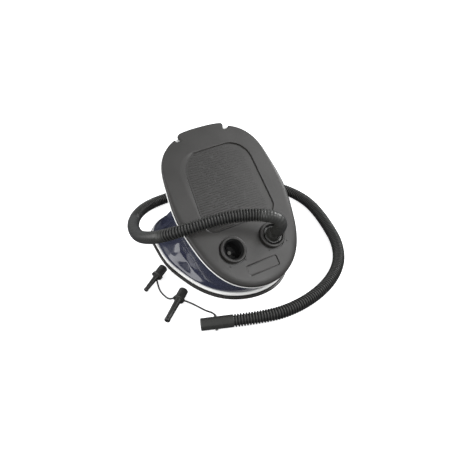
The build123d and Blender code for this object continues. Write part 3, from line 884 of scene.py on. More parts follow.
HOSE_ROUTE = Route("hose", (
    (40, -123.43, 102.01), (40, -140.64, 122.81),
    (32, -133.5, 142.5), (2, -116.5, 147.5), (-36, -102.5, 149.5), (-72, -92, 145.5),
    (-107, -79, 136.5), (-132, -63, 126), (-151, -32, 106), (-155, 22, 78), (-133, 98, 50),
    (-92, 163, 26), (-46, 197, 13), (4, 202, 11), (56, 206, 11), (118, 192, 11), (170, 163, 11),
    (210, 124, 11), (232, 78, 11), (238, 28, 11), (229, -20, 11), (214, -68, 11),
    (196, -114, 11), (164, -159, 11), (120, -191, 11), (68, -210, 11), (14, -216, 11),
    (-34, -208.5, 11), (-86, -187, 11)), 1405, 22)
NOZZLE_TETHER = Route("nozzle_tether", (
    (-109.1, -167.0, 19.2), (-108.6, -158, 17), (-109, -138, 4.5), (-114, -118, 1.3),
    (-121, -105, 3), (-130.82, -100.68, 9.86)), 79, 2.5)
ADAPTER_TETHER = Route("adapter_tether", (
    (-142.74, -85.38, 9.86), (-147, -78, 1.6), (-151, -61, 1.5), (-151, -43, 2.4),
    (-145, -25.0, 7.4)), 69, 2.5)


@dataclass
class Lathe:
    """A turned shape: rings of a profile about +Z.

    Attributes:
        profile: Radius and height of each ring, millimetres.
        count: Points around.
    """

    profile: Sequence[tuple[float, float]]
    count: int = 64

    def shape(self, closed: bool = False) -> Shape:
        """Make the shape.

        Args:
            closed: Whether the last ring joins the first, as in a tube's wall.

        Returns:
            The shape, with its ends capped unless closed.
        """
        made = Shape()
        rings = made.skin([circle(r, z, self.count) for r, z in self.profile])
        if closed:
            made.bridge(rings[-1], rings[0])
        else:
            made.cap(rings[0][::-1])
            made.cap(rings[-1])
        return made


def arc(centre: tuple[float, float], radius: float, start: float, end: float,
        count: int = 5) -> list[tuple[float, float]]:
    """Points of a rounding in a profile.

    Args:
        centre: Radius and height of its middle.
        radius: Its own radius.
        start: First angle, degrees from outwards.
        end: Last angle.
        count: Number of points.

    Returns:
        Radius and height of each point.
    """
    angles = np.radians(np.linspace(start, end, count))
    return [(centre[0] + radius * math.cos(a), centre[1] + radius * math.sin(a)) for a in angles]


def lying(points: np.ndarray, place: Sequence[float], heading: float, dip: float) -> np.ndarray:
    """Turn a piece's own +Z to a heading on the floor, dipping at its far end.

    Args:
        points: Points about the piece's own axis.
        place: Where its origin lies.
        heading: Degrees in the floor.
        dip: Degrees down.

    Returns:
        The points as they lie.
    """
    turn = Matrix.Rotation(math.radians(heading), 3, "Z") @ Matrix.Rotation(math.radians(90 + dip), 3, "Y")
    return points @ np.array(turn).T + np.array(place)


@dataclass(frozen=True)
class Adapter:
    """Valve adapter: socket, collar, two tether tabs, tapered tip with a rounded end.

    Attributes:
        name: Name of the CAD node.
        mouth: Where the socket's mouth lies.
        heading: Degrees in the floor.
        tip: Length of the tip.
        root: Radius of the tip by the collar.
        end: Radius of the tip near its end.
        socket: Outer radius of the socket.
        bore: Radius inside the socket.
        air_way: Radius of the hole through the tip.
        collar: Radius of the collar, on which the adapter lies.
        body: Length of the socket with its collar.
    """

    name: str
    mouth: tuple[float, float]
    heading: float
    tip: float
    root: float
    end: float
    socket: float = 8.0
    bore: float = 6.6
    air_way: float = 2.2
    collar: float = 9.6
    body: float = 23

    def build(self) -> bpy.types.Object:
        """Make the adapter where it lies.

        Returns:
            The piece.
        """
        dip = math.asin((self.collar - self.end) / self.tip)
        height = self.collar / math.cos(dip) + self.body * math.sin(dip)
        shape = Lathe(self.profile(), 48).shape(closed=True)
        for side in (-1, 1):
            shape.block((0, side * 9.2, 21.0), (4.4, 2.4, 3.0))
        place = (*self.mouth, height)
        obj = shape.make(f"{self.name}_moulding", lambda p: lying(p, place, self.heading, math.degrees(dip)))
        return dress(obj, Slot.BLACK, "base", self.name)

    def profile(self) -> list[tuple[float, float]]:
        """Section of the wall, from the socket's floor out and round to the tip's end.

        Returns:
            Radius and height of each corner.
        """
        far, bead = self.body + self.tip, 0.5
        socket = [(self.air_way, 20.0), (self.bore, 20.0), (self.bore, 0.6), (6.9, 0.1), (7.5, 0.0),
                  (self.socket, 0.5), (self.socket, 18.8), (8.4, 19.0)]
        collar = [(9.1, 19.0), (self.collar, 19.5), (self.collar, 22.5), (9.1, self.body)]
        tip = [(self.root + 1.4, 23.1), (self.root + 0.3, 23.8), (self.root - 0.05, 25.2),
               (self.end, far - 4.6), (self.end + bead, far - 4.0), (self.end + 0.55, far - 2.0),
               (self.end + 0.1, far - 0.6), (self.end - 0.8, far), (2.5, far), (self.air_way, far - 0.4)]
        return socket + collar + tip


@dataclass
class Hose:
    """Corrugated hose, its nozzle, the two adapters and their tethers.

    Attributes:
        pitch: From one ridge to the next.
        ridge: Outer radius.
        groove: Radius in a groove.
        groove_edge: Below this radius a face belongs to a groove's floor and takes the painted shade.
        drawn: Radius in the grooves where a tight bend draws the hose out smooth.
        around: Points around.
        cuff: Length of the plain cuff at the plug.
        end: Length of the plain end in the nozzle.
        section: Share of the pitch and share of the rise of each ring of a ridge.
        left_loop: Where the hose turns back behind the treadle, millimetres.
        swinging: Length of hose given the whole share of the treadle's swing.
        easing: Length over which that share dies out.
        lug_turn: Where round the nozzle its lugs stand, radians.
        lug_at: How far along the nozzle they stand.
        strap_over: How much thicker the straps look than their nominal size.
    """

    pitch: float = 4.8
    ridge: float = 11.0
    groove: float = 8.0
    groove_edge: float = 9.2
    drawn: float = 10.75
    around: int = 26
    cuff: float = 26.0
    end: float = 1.0
    section: tuple[tuple[float, float], ...] = (
        (0.0, 0.0), (0.17, 0.04), (0.27, 0.62), (0.37, 0.93), (0.5, 1.0), (0.63, 0.93), (0.73, 0.62),
        (0.83, 0.04))
    left_loop: tuple[float, float, float] = (-151, -30, 104)
    swinging: float = 150
    easing: float = 420
    lug_turn: float = math.radians(-40)
    lug_at: float = 29.0
    strap_over: float = 1.2

    def build(self) -> None:
        """Make the hose and what hangs on it."""
        nozzle = self.nozzle()
        large = Adapter("large_adapter", (-120.3, -80.2), 217.9, 48.0, 5.6, 4.6).build()
        small = Adapter("small_adapter", (-122.5, -7.9), 209.2, 36.0, 4.9, 3.6).build()
        self.hose(nozzle)
        self.tether(NOZZLE_TETHER)
        self.tether(ADAPTER_TETHER)

    def hose(self, nozzle: bpy.types.Object) -> None:
        """Make the blow-moulded tube along its line, and work out each vertex's share of the treadle's swing.

        Args:
            nozzle: The piece on its far end; not used.
        """
        line = HOSE_ROUTE.line()
        run = np.concatenate([[0], np.cumsum(np.linalg.norm(np.diff(line, axis=0), axis=1))])
        shape = self.tube(line, run, self.stations(line, run))
        obj = dress(shape.make("corrugated_hose", sharp=60), Slot.HOSE, None, "hose")
        self.paint_groove_shade(obj, line)
        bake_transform(obj)
        share_swing(obj, line, 1 - smooth((run - self.swinging) / self.easing))

    def stations(self, line: np.ndarray, run: np.ndarray) -> list[tuple[float, float]]:
        """Rings of the hose: a cuff, then ridges and grooves that draw out smooth in the tight bends.

        Args:
            line: Points along the middle.
            run: Distance along at each point.

        Returns:
            Distance along and radius of each ring.
        """
        total = run[-1]
        ridges = round((total - self.cuff - self.end) / self.pitch)
        pitch = (total - self.cuff - self.end) / ridges
        rings = [(0.0, 10.2), (0.8, self.ridge - 0.5), (self.cuff / 2, self.ridge - 0.25),
                 (self.cuff - 0.5, self.ridge - 0.1)]
        loop = run[np.argmin(np.linalg.norm(line - np.array(self.left_loop), axis=1))]
        for k in range(ridges):
            start = self.cuff + k * pitch
            by_plug = 1 - smooth((start - 60) / 22)
            in_loop = smooth((start - loop + 42) / 22) * smooth((loop + 190 - start) / 30)
            groove = self.groove + (self.drawn - self.groove) * min(1.0, float(by_plug + in_loop))
            tall = self.ridge - groove
            rings += [(start + share * pitch, groove + tall * rise) for share, rise in self.section]
        return rings + [(total - self.end, self.groove), (total, self.groove)]

    def tube(self, line: np.ndarray, run: np.ndarray, stations: Sequence[tuple[float, float]]) -> Shape:
        """Sweep rings along a line without a twist.

        Args:
            line: Points along the middle.
            run: Distance along at each point.
            stations: Distance along and radius of each ring.

        Returns:
            The shape, capped at both ends.
        """
        def points_at(distances: np.ndarray) -> np.ndarray:
            """Points on the line at these distances along it."""
            return np.column_stack([np.interp(distances, run, line[:, k]) for k in range(3)])

        at = np.array([s for s, _ in stations])
        ahead, behind = points_at(np.minimum(at + 1.5, run[-1])), points_at(np.maximum(at - 1.5, 0))
        along = (ahead - behind) / np.linalg.norm(ahead - behind, axis=1)[:, None]
        side = np.cross(along[0], (0, 0, 1.0))
        shape, rings = Shape(), []
        angle = np.arange(self.around) * 2 * np.pi / self.around
        for place, way, (_, radius) in zip(points_at(at), along, stations):
            side = side - way * (side @ way)
            side /= np.linalg.norm(side)
            round_it = np.outer(np.cos(angle), side) + np.outer(np.sin(angle), np.cross(way, side))
            rings.append(shape.add(place + radius * round_it))
        for before, after in zip(rings, rings[1:]):
            shape.bridge(before, after)
        shape.cap(rings[0][::-1])
        shape.cap(rings[-1])
        return shape

    def paint_groove_shade(self, obj: bpy.types.Object, line: np.ndarray) -> None:
        """Paint shade into the grooves' floors: they take a darker, duller black.

        Args:
            obj: The hose.
            line: Points along its middle.
        """
        tree = tree_of(line)
        obj.data.materials.append(HOSE_GROOVE_PAINTED_SHADE.material())
        # faces near the middle line lie in the grooves' floors and take the painted shade
        for face in obj.data.polygons:
            face.material_index = int(tree.find(face.center / MM)[2] < self.groove_edge)

    def nozzle(self) -> bpy.types.Object:
        """Make the plain cuff with its rounded mouth and two lugs.

        Returns:
            The piece.
        """
        profile = [(8.1, 10.0), (8.1, 53.2), *arc((9.2, 52.9), 1.1, 170, 0, 8), (10.3, 51.5), (10.42, 28.0),
                   (10.55, 1.6), *arc((9.6, 0.9), 0.9, 0, -80), (0.6, 0.0)]
        body = Lathe(profile).shape()
        lug = Lathe([(2.4, 9.4), (2.4, 11.9), *arc((1.9, 12.0), 0.5, 0, 90)], 20).shape()
        points = np.concatenate(lug.points)
        for side in (-1, 1):
            start = body.count
            placed = np.column_stack([points[:, 0], side * points[:, 2], self.lug_at + points[:, 1]])
            body.add(turned(placed, self.lug_turn))
            body.faces += [tuple(i + start for i in face) for face in lug.faces]
        before, last = HOSE_ROUTE.points[-2:]
        heading = math.degrees(math.atan2(last[1] - before[1], last[0] - before[0]))
        obj = body.make("nozzle_moulding", lambda p: lying(p, last, heading, 0))
        return dress(obj, Slot.BLACK, "base", "nozzle")

    def tether(self, route: Route) -> None:
        """Make a thin moulded strap between two lugs.

        Args:
            route: Its line.
        """
        obj = route.curve()
        obj.data.bevel_depth = self.strap_over * route.diameter / 2 * MM
        obj.data.bevel_resolution = 5
        obj.data.use_fill_caps = True
        obj.data.materials.append(FINISH_OF[Slot.BLACK].material())
        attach(obj, "base")
        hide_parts(route.name)
        LOG.info("%s: a curve, rides on base", obj.name)


# ---------------------------------------------------------------- the two plates


# Places of the small round marks beside the collars, in the closed treadle.
PIPS = ((-57.0, -99.5), (-25.5, -97.5), (23.0, -97.5), (62.5, -93.0))


@dataclass
class Treadle:
    """Upper plate with its rolled edge, ribbed foot pad, plaque and port holes, drawn closed.

    Attributes:
        top: Height of the top face.
        bottom: Height of the rim's lower edge.
        under: Height of the skin's underside.
        wall: Thickness of the rim.
        pad_depth: Depth of the foot pad's floor.
        groove_depth: Depth of the groove round the floor, where it is deepest.
        rib_pitch: From one rib to the next.
        port_x: Half of the distance between the ports.
        port_y: The ports' Y.
        port_hole: Radius of a port's hole.
        moat: Radius of the moat round a collar.
        moat_off: How far the moat stands off the collar's axis, to the left and to the hinge.
        moat_deep: Its depth.
        plaque_deep: Depth of the plaque.
    """

    top: float = 55.9
    bottom: float = 47.9
    under: float = 52.4
    wall: float = 4.0
    pad_depth: float = 1.5
    groove_depth: float = 2.7
    rib_pitch: float = 4.3
    port_x: float = 40.0
    port_y: float = -74.5
    port_hole: float = 20.1
    moat: float = 24.4
    moat_off: float = 1.7
    moat_deep: float = 1.9
    plaque_deep: float = 1.0

    def build(self) -> None:
        """Make the plate and the white ring under its edge."""
        shape = Shape()
        self.rim(shape)
        self.underside(shape)
        pad = rounded_box(144.0, -38.0, 110.0, 22.0, 40.0, 16)
        plaque = rounded_box(62.8, -127.3, -107.5, 4.0, 4.0, 8)
        rounds, moats = self.rounds(self.port_hole), self.rounds(self.moat, self.moat_off)
        edge = inset(OVAL.plate(), self.roll_width(OVAL.plate()) + 1.0)
        shape.sheet(edge, [inset(pad, -1.0), inset(plaque, -1.0), *moats], self.top)
        floor = self.top - self.moat_deep
        for hole, moat in zip(rounds, moats):
            shape.skin([at_height(moat, self.top), at_height(moat, floor), at_height(hole, floor),
                        at_height(hole, self.under)])
        self.pad(shape, pad)
        self.recess(shape, plaque)
        self.pips(shape)
        dress(shape.make("treadle_moulding", HINGE.opened, 35), Slot.CHARCOAL, "treadle", "treadle_plate")
        trim = [(-7.6, 45.4), (-7.4, 45.2), (0.2, 45.2), (0.5, 45.5), (0.5, 47.6), (0.2, self.bottom),
                (-7.6, self.bottom)]
        ring("treadle_clamp_ring", trim, Slot.WHITE, "treadle", HINGE.opened)

    def rounds(self, radius: float, off: float = 0.0) -> list[Loop]:
        """Round outlines about the two ports, clockwise.

        Args:
            radius: Their radius.
            off: How far they stand off the ports' axes.

        Returns:
            The left one and the right one.
        """
        return [circle(radius, 0, 72, side * self.port_x - off, self.port_y - off)[::-1] for side in (-1, 1)]

    @staticmethod
    def foot_to_hinge(loop: Loop) -> np.ndarray:
        """Share of the way from the foot end, 0, to the ports, 1."""
        return smooth((118 - loop[:, 1]) / 190)

    def roll_width(self, loop: Loop) -> np.ndarray:
        """How far the edge's roll reaches in: broad by the ports, nothing at the foot end."""
        return 1.1 + 12.5 * self.foot_to_hinge(loop)

    def rim(self, shape: Shape) -> None:
        """Add the outer wall and the soft roll up to the top face.

        Args:
            shape: Shape to add to.
        """
        loop = OVAL.plate()
        width = self.roll_width(loop)
        drop = 1.0 + 3.6 * self.foot_to_hinge(loop)
        rows = [at_height(inset(loop, 0.6), self.bottom), at_height(inset(loop, 0.15), self.bottom + 0.15),
                at_height(loop, self.bottom + 0.6)]
        for t in np.linspace(0, math.pi / 2, 10):
            edge = inset(loop, width * (1 - math.cos(t)))
            rows.append(at_height(edge, self.top - drop * (1 - math.sin(t))))
        rows.append(at_height(inset(loop, width + 1.0), self.top))
        shape.skin(rows)

    def underside(self, shape: Shape) -> None:
        """Add the hollow under the plate, solid at the foot end, open at the two ports.

        Args:
            shape: Shape to add to.
        """
        inner = OVAL.loop(-self.wall)
        inner[:, 1] = np.minimum(inner[:, 1], 133.0)
        shape.sheet(inset(OVAL.plate(), 0.6), [inner], self.bottom)
        shape.skin([at_height(inner, self.bottom), at_height(inner, self.under)])
        shape.sheet(inner, self.rounds(self.port_hole), self.under)

    def pad(self, shape: Shape, loop: Loop) -> None:
        """Add the foot pad: a slope on its left, a groove that is sharp on its right, a ribbed floor.

        Args:
            shape: Shape to add to.
            loop: Upper edge of the recess.
        """
        x, y = loop[:, 0], loop[:, 1]
        width = 0.5 + 10.0 * smooth((-x - 20) / 46) * smooth((y + 46) / 130)
        gentle = 1 - 0.6 * smooth((-x - 20) / 40)
        rows = [at_height(inset(loop, -1.0), self.top), at_height(loop, self.top)]
        for share, fall in ((0.06, 0.03), (0.3, 0.16), (0.65, 0.4), (0.95, 0.62)):
            rows.append(at_height(inset(loop, width * share), self.top - self.pad_depth * fall * gentle))
        sharp = smooth((x + 10) / 60)
        gap = 0.6 + 1.7 * sharp
        cut = self.pad_depth + (self.groove_depth - self.pad_depth) * np.maximum(sharp, smooth((40 - y) / 60))
        rows.append(at_height(inset(loop, width + 0.1), self.top - cut))
        rows.append(at_height(inset(loop, width + gap), self.top - cut))
        rows.append(at_height(inset(loop, width + gap + 0.4), self.top - self.pad_depth))
        floor = inset(loop, width + gap + 1.2)
        rows.append(at_height(floor, self.top - self.pad_depth))
        shape.skin(rows)
        shape.sheet(floor, [], self.top - self.pad_depth)
        self.ribs(shape, floor)

    def ribs(self, shape: Shape, floor: Loop) -> None:
        """Add low wavy ribs that run across the pad, each in a few lengths.

        Args:
            shape: Shape to add to.
            floor: Outline of the pad's floor.
        """
        chance = np.random.default_rng(7)
        for row, y in enumerate(np.arange(-33.0, 106, self.rib_pitch)):
            crossing = self.crossing(floor, y)
            if crossing is None:
                continue
            start, last = crossing[0] + 1.5, crossing[1] - 9.0
            while start < last - 6:
                end = min(last, start + chance.uniform(22, 58))
                self.rib(shape, (start, end), y, chance.uniform(0, 6.3), row)
                start = end + chance.uniform(0.8, 2.2)

    @staticmethod
    def crossing(loop: Loop, y: float) -> tuple[float, float] | None:
        """Find where a line across, at y, enters and leaves an outline.

        Args:
            loop: The outline.
            y: The line's Y.

        Returns:
            The lowest and highest X, or None where the line misses.
        """
        following = np.roll(loop, -1, axis=0)
        cut = (loop[:, 1] - y) * (following[:, 1] - y) < 0
        if cut.sum() < 2:
            return None
        share = (y - loop[cut, 1]) / (following[cut, 1] - loop[cut, 1])
        xs = loop[cut, 0] + share * (following[cut, 0] - loop[cut, 0])
        return float(xs.min()), float(xs.max())

    def rib(self, shape: Shape, span: tuple[float, float], y: float, phase: float, row: int) -> None:
        """Add one length of rib, rounded in section, tapered at its ends and lower on the right.

        Args:
            shape: Shape to add to.
            span: X of its two ends.
            y: Its Y.
            phase: Where its wave starts, radians.
            row: Number of the row.
        """
        start, end = span
        section = ((-1.1, -0.2), (-0.85, 0.26), (-0.35, 0.54), (0.35, 0.54), (0.85, 0.26), (1.1, -0.2))
        floor, rings = self.top - self.pad_depth, []
        for x in np.linspace(start, end, max(5, int((end - start) / 2.2))):
            taper = min(1.0, (x - start) / 2.5 + 0.12, (end - x) / 2.5 + 0.12)
            taper *= 1 - 0.55 * float(smooth((x + 5) / 50))
            middle = y + (0.35 * math.sin(x / 7.5 + phase) + 0.2 * math.sin(x / 3.1 + row))
            points = [(x, middle + a * (0.5 + 0.5 * taper), floor + b * taper) for a, b in section]
            rings.append(shape.add(np.array(points)))
        for before, after in zip(rings, rings[1:]):
            shape.bridge(before, after)
        shape.cap(rings[0][::-1])
        shape.cap(rings[-1])

    def recess(self, shape: Shape, loop: Loop) -> None:
        """Add the shallow bare plaque: a deep crisp groove on the right, a slope on the left.

        Args:
            shape: Shape to add to.
            loop: Upper edge of the recess.
        """
        right = smooth((loop[:, 0] - 8) / 20)
        deep, soft = self.plaque_deep + 1.3 * right, 1.6 * (1 - right)
        floor = self.top - self.plaque_deep
        rows = [at_height(inset(loop, -1.0), self.top), at_height(loop, self.top),
                at_height(inset(loop, 0.1), self.top - 0.3)]
        for amount, height in ((0.3, self.top - deep), (1.3, self.top - deep), (1.7, floor), (2.4, floor)):
            rows.append(at_height(inset(loop, amount + soft), height))
        shape.skin(rows)
        shape.sheet(inset(loop, 2.4 + soft), [], floor)

    def pips(self, shape: Shape) -> None:
        """Add the small round marks by the ports that show the plug's two ends of turn.

        Args:
            shape: Shape to add to.
        """
        profile = ((1.5, -0.2), (1.5, 0.25), (1.2, 0.5), (0.6, 0.62))
        for x, y in PIPS:
            rings = shape.skin([circle(r, self.top + z, 20, x, y) for r, z in profile])
            shape.cap(rings[-1])
            shape.cap(rings[0][::-1])


def ring(name: str, profile: Sequence[tuple[float, float]], slot: Slot, body: str,
         place: Callable[[np.ndarray], np.ndarray] | None = None) -> None:
    """Make a ring that follows the plates' oval, from a closed profile.

    Args:
        name: Name of the piece and the CAD node.
        profile: How far out from the treadle's oval, and height, of each corner.
        slot: Material slot.
        body: Body it rides on.
        place: Moves the points to the row frame.
    """
    shape = Shape()
    rings = shape.skin([at_height(OVAL.loop(grow), z) for grow, z in profile])
    shape.bridge(rings[-1], rings[0])
    dress(shape.make(f"{name}_moulding", place), slot, body, name)


@dataclass
class Base:
    """Lower tray with its stepped edge and the white clamp ring.

    Attributes:
        overhang: How far the tray stands out beyond the treadle.
        land: How far in from the tray's edge the ring's seat starts.
        seat: Height of the ring's seat.
        floor: Height of the tray's floor.
        pocket_in: How far in from the tray's edge the pocket starts.
        pocket_end: Largest Y of the pocket.
        ring_top: Height of the ring's top.
    """

    overhang: float = 1.6
    land: float = 3.5
    seat: float = 6.5
    floor: float = 3.0
    pocket_in: float = 12.0
    pocket_end: float = 136.0
    ring_top: float = 12.0

    def build(self) -> None:
        """Make the tray and the ring."""
        outline = OVAL.plate(self.overhang)
        steps = [(2.4, 0.0), (1.3, 0.0), (1.0, 0.3), (1.0, 1.9), (0.5, 2.2), (0.25, 2.3), (0.0, 2.6),
                 (0.0, 4.2), (0.12, 4.6), (0.5, 4.85), (2.5, 5.4), (2.75, 5.3), (2.85, 4.7), (3.3, 4.7),
                 (3.4, 6.3), (self.land, self.seat)]
        shape = Shape()
        shape.skin([at_height(inset(outline, amount), z) for amount, z in steps])
        shape.sheet(inset(outline, 2.4), [], 0.0)
        pocket = OVAL.loop(self.overhang - self.pocket_in)
        pocket[:, 1] = np.minimum(pocket[:, 1], self.pocket_end)
        shape.sheet(inset(outline, self.land), [pocket], self.seat)
        shape.skin([at_height(pocket, self.seat), at_height(inset(pocket, 0.3), self.floor + 0.3),
                    at_height(inset(pocket, 0.6), self.floor)])
        shape.sheet(inset(pocket, 0.6), [], self.floor)
        dress(shape.make("base_moulding", sharp=35), Slot.CHARCOAL, "base", "base_plate")
        ring("base_clamp_ring", [(-7.1, self.seat), (-2.4, self.seat), (-2.2, 6.7), (-2.2, 8.9), (-2.45, 9.1),
                                 (-2.45, 9.4), (-2.2, 9.6), (-2.2, 11.3), (-2.4, 11.8), (-2.9, self.ring_top),
                                 (-6.6, self.ring_top), (-7.1, 11.6)], Slot.WHITE, "base")


# ---------------------------------------------------------------- bellows and spring


@dataclass(frozen=True)
class Crease:
    """A fold line across the bellows' wall.

    Attributes:
        start: Share around, clockwise from the foot end, and share up, of one end.
        end: The same for the other end.
        depth: How far it stands in (positive) or out (negative), millimetres.
        width: Reach of the fold to either side, millimetres.
    """

    start: tuple[float, float]
    end: tuple[float, float]
    depth: float
    width: float


# Folds of the slack film: first those below its waist, then those above it.
CREASES: tuple[Crease, ...] = tuple(
    Crease((a, b), (c, d), depth, width) for a, b, c, d, depth, width in (
        (0.655, 0.10, 0.705, 0.02, -2.0, 14.0), (0.682, 0.30, 0.725, 0.05, 1.5, 14.0),
        (0.715, 0.44, 0.765, 0.06, -2.6, 18.0),
        (0.745, 0.42, 0.795, 0.08, 2.6, 15.0),
        (0.780, 0.46, 0.825, 0.06, -5.0, 14.0), (0.815, 0.46, 0.850, 0.10, 5.0, 12.0),
        (0.860, 0.48, 0.885, 0.08, -5.0, 15.0), (0.905, 0.46, 0.930, 0.10, 5.0, 13.0),
        (0.950, 0.48, 0.970, 0.08, -5.0, 16.0), (0.000, 0.46, 0.015, 0.10, 5.0, 14.0),
        (0.045, 0.48, 0.065, 0.08, -5.0, 15.0), (0.090, 0.46, 0.120, 0.10, 5.0, 13.0),
        (0.140, 0.46, 0.170, 0.06, -5.0, 14.0), (0.195, 0.44, 0.230, 0.08, 5.0, 12.0),
        (0.235, 0.42, 0.285, 0.06, -5.0, 12.0), (0.280, 0.36, 0.330, 0.05, 4.5, 9.0),
        (0.300, 0.20, 0.360, 0.02, -3.0, 13.0), (0.720, 0.86, 0.800, 0.60, -2.0, 22.0),
        (0.820, 0.95, 0.880, 0.56, 4.0, 20.0), (0.900, 0.92, 0.925, 0.52, -6.0, 18.0),
        (0.940, 0.96, 0.990, 0.55, 5.5, 20.0), (0.965, 0.80, 0.955, 0.50, -4.5, 12.0),
        (0.035, 0.94, 0.020, 0.52, -6.0, 18.0), (0.060, 0.90, 0.095, 0.54, 5.5, 17.0),
        (0.120, 0.95, 0.150, 0.55, -5.0, 20.0), (0.180, 0.88, 0.220, 0.60, 4.0, 20.0),
        (0.250, 0.88, 0.310, 0.58, 2.5, 18.0),
    ))


@dataclass
class Bellows:
    """Welded vinyl wall between the two plates, slack and creased as it hangs open.

    Attributes:
        around: Points around.
        up: Rows.
        skin: Thickness of the film.
        held_in: How far in from the treadle's outline the film is held.
        low: Height of its lower edge.
        high: Height of its upper edge in the closed pump.
        girth: Its length round the pump, millimetres, for the creases.
        waist_low: Height of the inward fold beside the hinge, as a share of the wall's.
        waist_high: The same along the sides and at the foot end.
        waist_from: Share round the wall, from the hinge, where the fold starts to climb.
        waist_rise: Share over which it climbs.
        waist_in: How far the fold stands in, as a share of the wall's height.
        waist_grows: How much deeper the fold is at the foot end.
    """

    around: int = 480
    up: int = 60
    skin: float = 0.9
    held_in: float = 4.7
    low: float = 12.0
    high: float = 45.7
    girth: float = 800.0
    waist_low: float = 0.04
    waist_high: float = 0.5
    waist_from: float = 0.15
    waist_rise: float = 0.2
    waist_in: float = 0.15
    waist_grows: float = 1.2

    def build(self) -> None:
        """Make the wall and work out each vertex's share of the treadle's swing."""
        outline = self.resample(OVAL.loop(-self.held_in))
        lower, upper = at_height(outline, self.low), HINGE.opened(at_height(outline, self.high))
        share = np.linspace(0, 1, self.up)
        u = np.arange(self.around) / self.around
        height = np.linalg.norm(upper - lower, axis=1)
        inward, outer = self.inward(lower, upper), []
        for v in share:
            outer.append(lower * (1 - v) + upper * v + inward * self.depth(u, v, height)[:, None])
        inner = [row + inward * self.skin for row in outer[::-1]]
        shape = Shape()
        rings = shape.skin(outer + inner)
        shape.bridge(rings[-1], rings[0])
        obj = dress(shape.make("bellows_film", sharp=180), Slot.NAVY, None, "bellows")
        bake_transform(obj)
        shares = np.repeat(np.concatenate([share, share[::-1]]), self.around)
        share_swing(obj, np.concatenate(outer + inner), shares)

    def resample(self, loop: Loop) -> Loop:
        """Spread a loop over the wall's own number of points.

        Args:
            loop: The outline.

        Returns:
            The same outline with that many points.
        """
        closed = np.concatenate([loop, loop[:1]])
        at = np.arange(self.around) / self.around * len(loop)
        return np.column_stack([np.interp(at, np.arange(len(closed)), closed[:, k]) for k in (0, 1)])

    @staticmethod
    def inward(lower: np.ndarray, upper: np.ndarray) -> np.ndarray:
        """Find which way is towards the inside of the pump, square to the wall.

        Args:
            lower: The wall's lower edge.
            upper: Its upper edge.

        Returns:
            A unit direction for each point around.
        """
        along = np.roll(lower, -1, axis=0) - np.roll(lower, 1, axis=0)
        rise = upper - lower
        inside_way = np.cross(rise, along)
        inside_way /= np.linalg.norm(inside_way, axis=1)[:, None]
        flat = np.column_stack([along[:, 1], -along[:, 0], np.zeros(len(along))])
        flip = np.sign(np.einsum("ij,ij->i", inside_way, flat))
        return inside_way * np.where(flip == 0, 1, flip)[:, None]

    def depth(self, u: np.ndarray, v: float, height: np.ndarray) -> np.ndarray:
        """Find how far a row of the wall stands in from the straight line between the plates.

        Args:
            u: Share around of each point.
            v: Share up of the row.
            height: Height of the wall at each point.

        Returns:
            The depth at each point.
        """
        held = smooth(np.minimum(v, 1 - v) * height / 14)
        back = np.abs(u - 0.5)
        climb = smooth((back - self.waist_from) / self.waist_rise)
        waist = self.waist_low + (self.waist_high - self.waist_low) * climb
        fold = np.where(v < waist, v / waist, (1 - v) / (1 - waist))
        deep = self.waist_in * (1 + self.waist_grows * smooth((back - 0.33) / 0.12))
        total = deep * height * fold * smooth((back - 0.06) / 0.14)
        for crease in CREASES:
            total = total + self.fold(crease, u, v, height)
        return total * held

    def fold(self, crease: Crease, u: np.ndarray, v: float, height: np.ndarray) -> np.ndarray:
        """Find one crease's share of the depth: a sharp line that fades to both sides and its ends.

        Args:
            crease: The crease.
            u: Share around of each point.
            v: Share up of the row.
            height: Height of the wall at each point.

        Returns:
            What it adds at each point.
        """
        girth = self.girth
        ax, ay = crease.start[0] * girth, crease.start[1]
        bx, by = crease.end[0] * girth, crease.end[1]
        middle = (crease.start[0] + crease.end[0]) / 2 % 1
        tall = float(np.interp(middle, np.linspace(0, 1, len(height)), height))
        away = (u * girth - ax + girth / 2) % girth - girth / 2
        px, py = away, (v - ay) * tall
        dx, dy = bx - ax, (by - ay) * tall
        length = math.hypot(dx, dy)
        along = (px * dx + py * dy) / length**2
        off = np.abs(px * dy - py * dx) / length
        ends = smooth(1 - np.abs(along - 0.5) * 2 + 0.25)
        return crease.depth * ends * np.exp(-off / crease.width)


@dataclass
class Spring:
    """Return spring: a wire coil that follows the treadle's arc.

    Attributes:
        wire: Radius of the wire.
        radius: Radius of the coil.
        turns: Number of turns.
        dead: Turns at each end that lie flat.
        y: Y of its foot.
        low: Height of its foot.
        high: Height of its head in the closed pump.
    """

    wire: float = 1.6
    radius: float = 22.0
    turns: int = 7
    dead: float = 0.75
    y: float = 15.0
    low: float = 7.4
    high: float = 48.0

    def build(self) -> None:
        """Make the coil and work out each vertex's share of the swing by how far up the arc it stands."""
        count = 44 * self.turns
        part = np.linspace(0, 1, count + 1)
        lift = np.clip((part * self.turns - self.dead) / (self.turns - 2 * self.dead), 0, 1)
        angle = 2 * np.pi * part * self.turns
        closed = np.column_stack([self.radius * np.cos(angle), self.y + self.radius * np.sin(angle),
                                  self.low + (self.high - self.low) * lift])
        line = HINGE.opened(closed, lift)
        along = np.gradient(line, axis=0)
        along /= np.linalg.norm(along, axis=1)[:, None]
        out = np.column_stack([np.cos(angle), np.sin(angle), np.zeros(len(angle))])
        out -= along * np.einsum("ij,ij->i", out, along)[:, None]
        out /= np.linalg.norm(out, axis=1)[:, None]
        up = np.cross(along, out)
        turn = np.arange(14) * 2 * np.pi / 14
        shape = Shape()
        rings = [shape.add(p + self.wire * (np.outer(np.cos(turn), o) + np.outer(np.sin(turn), w)))
                 for p, o, w in zip(line, out, up)]
        for before, after in zip(rings, rings[1:]):
            shape.bridge(before, after)
        shape.cap(rings[0][::-1])
        shape.cap(rings[-1])
        obj = dress(shape.make("return_spring_coil", sharp=60), Slot.SPRING, None, "return_spring")
        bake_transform(obj)
        share_swing(obj, line, lift)


# ---------------------------------------------------------------- ports and connector


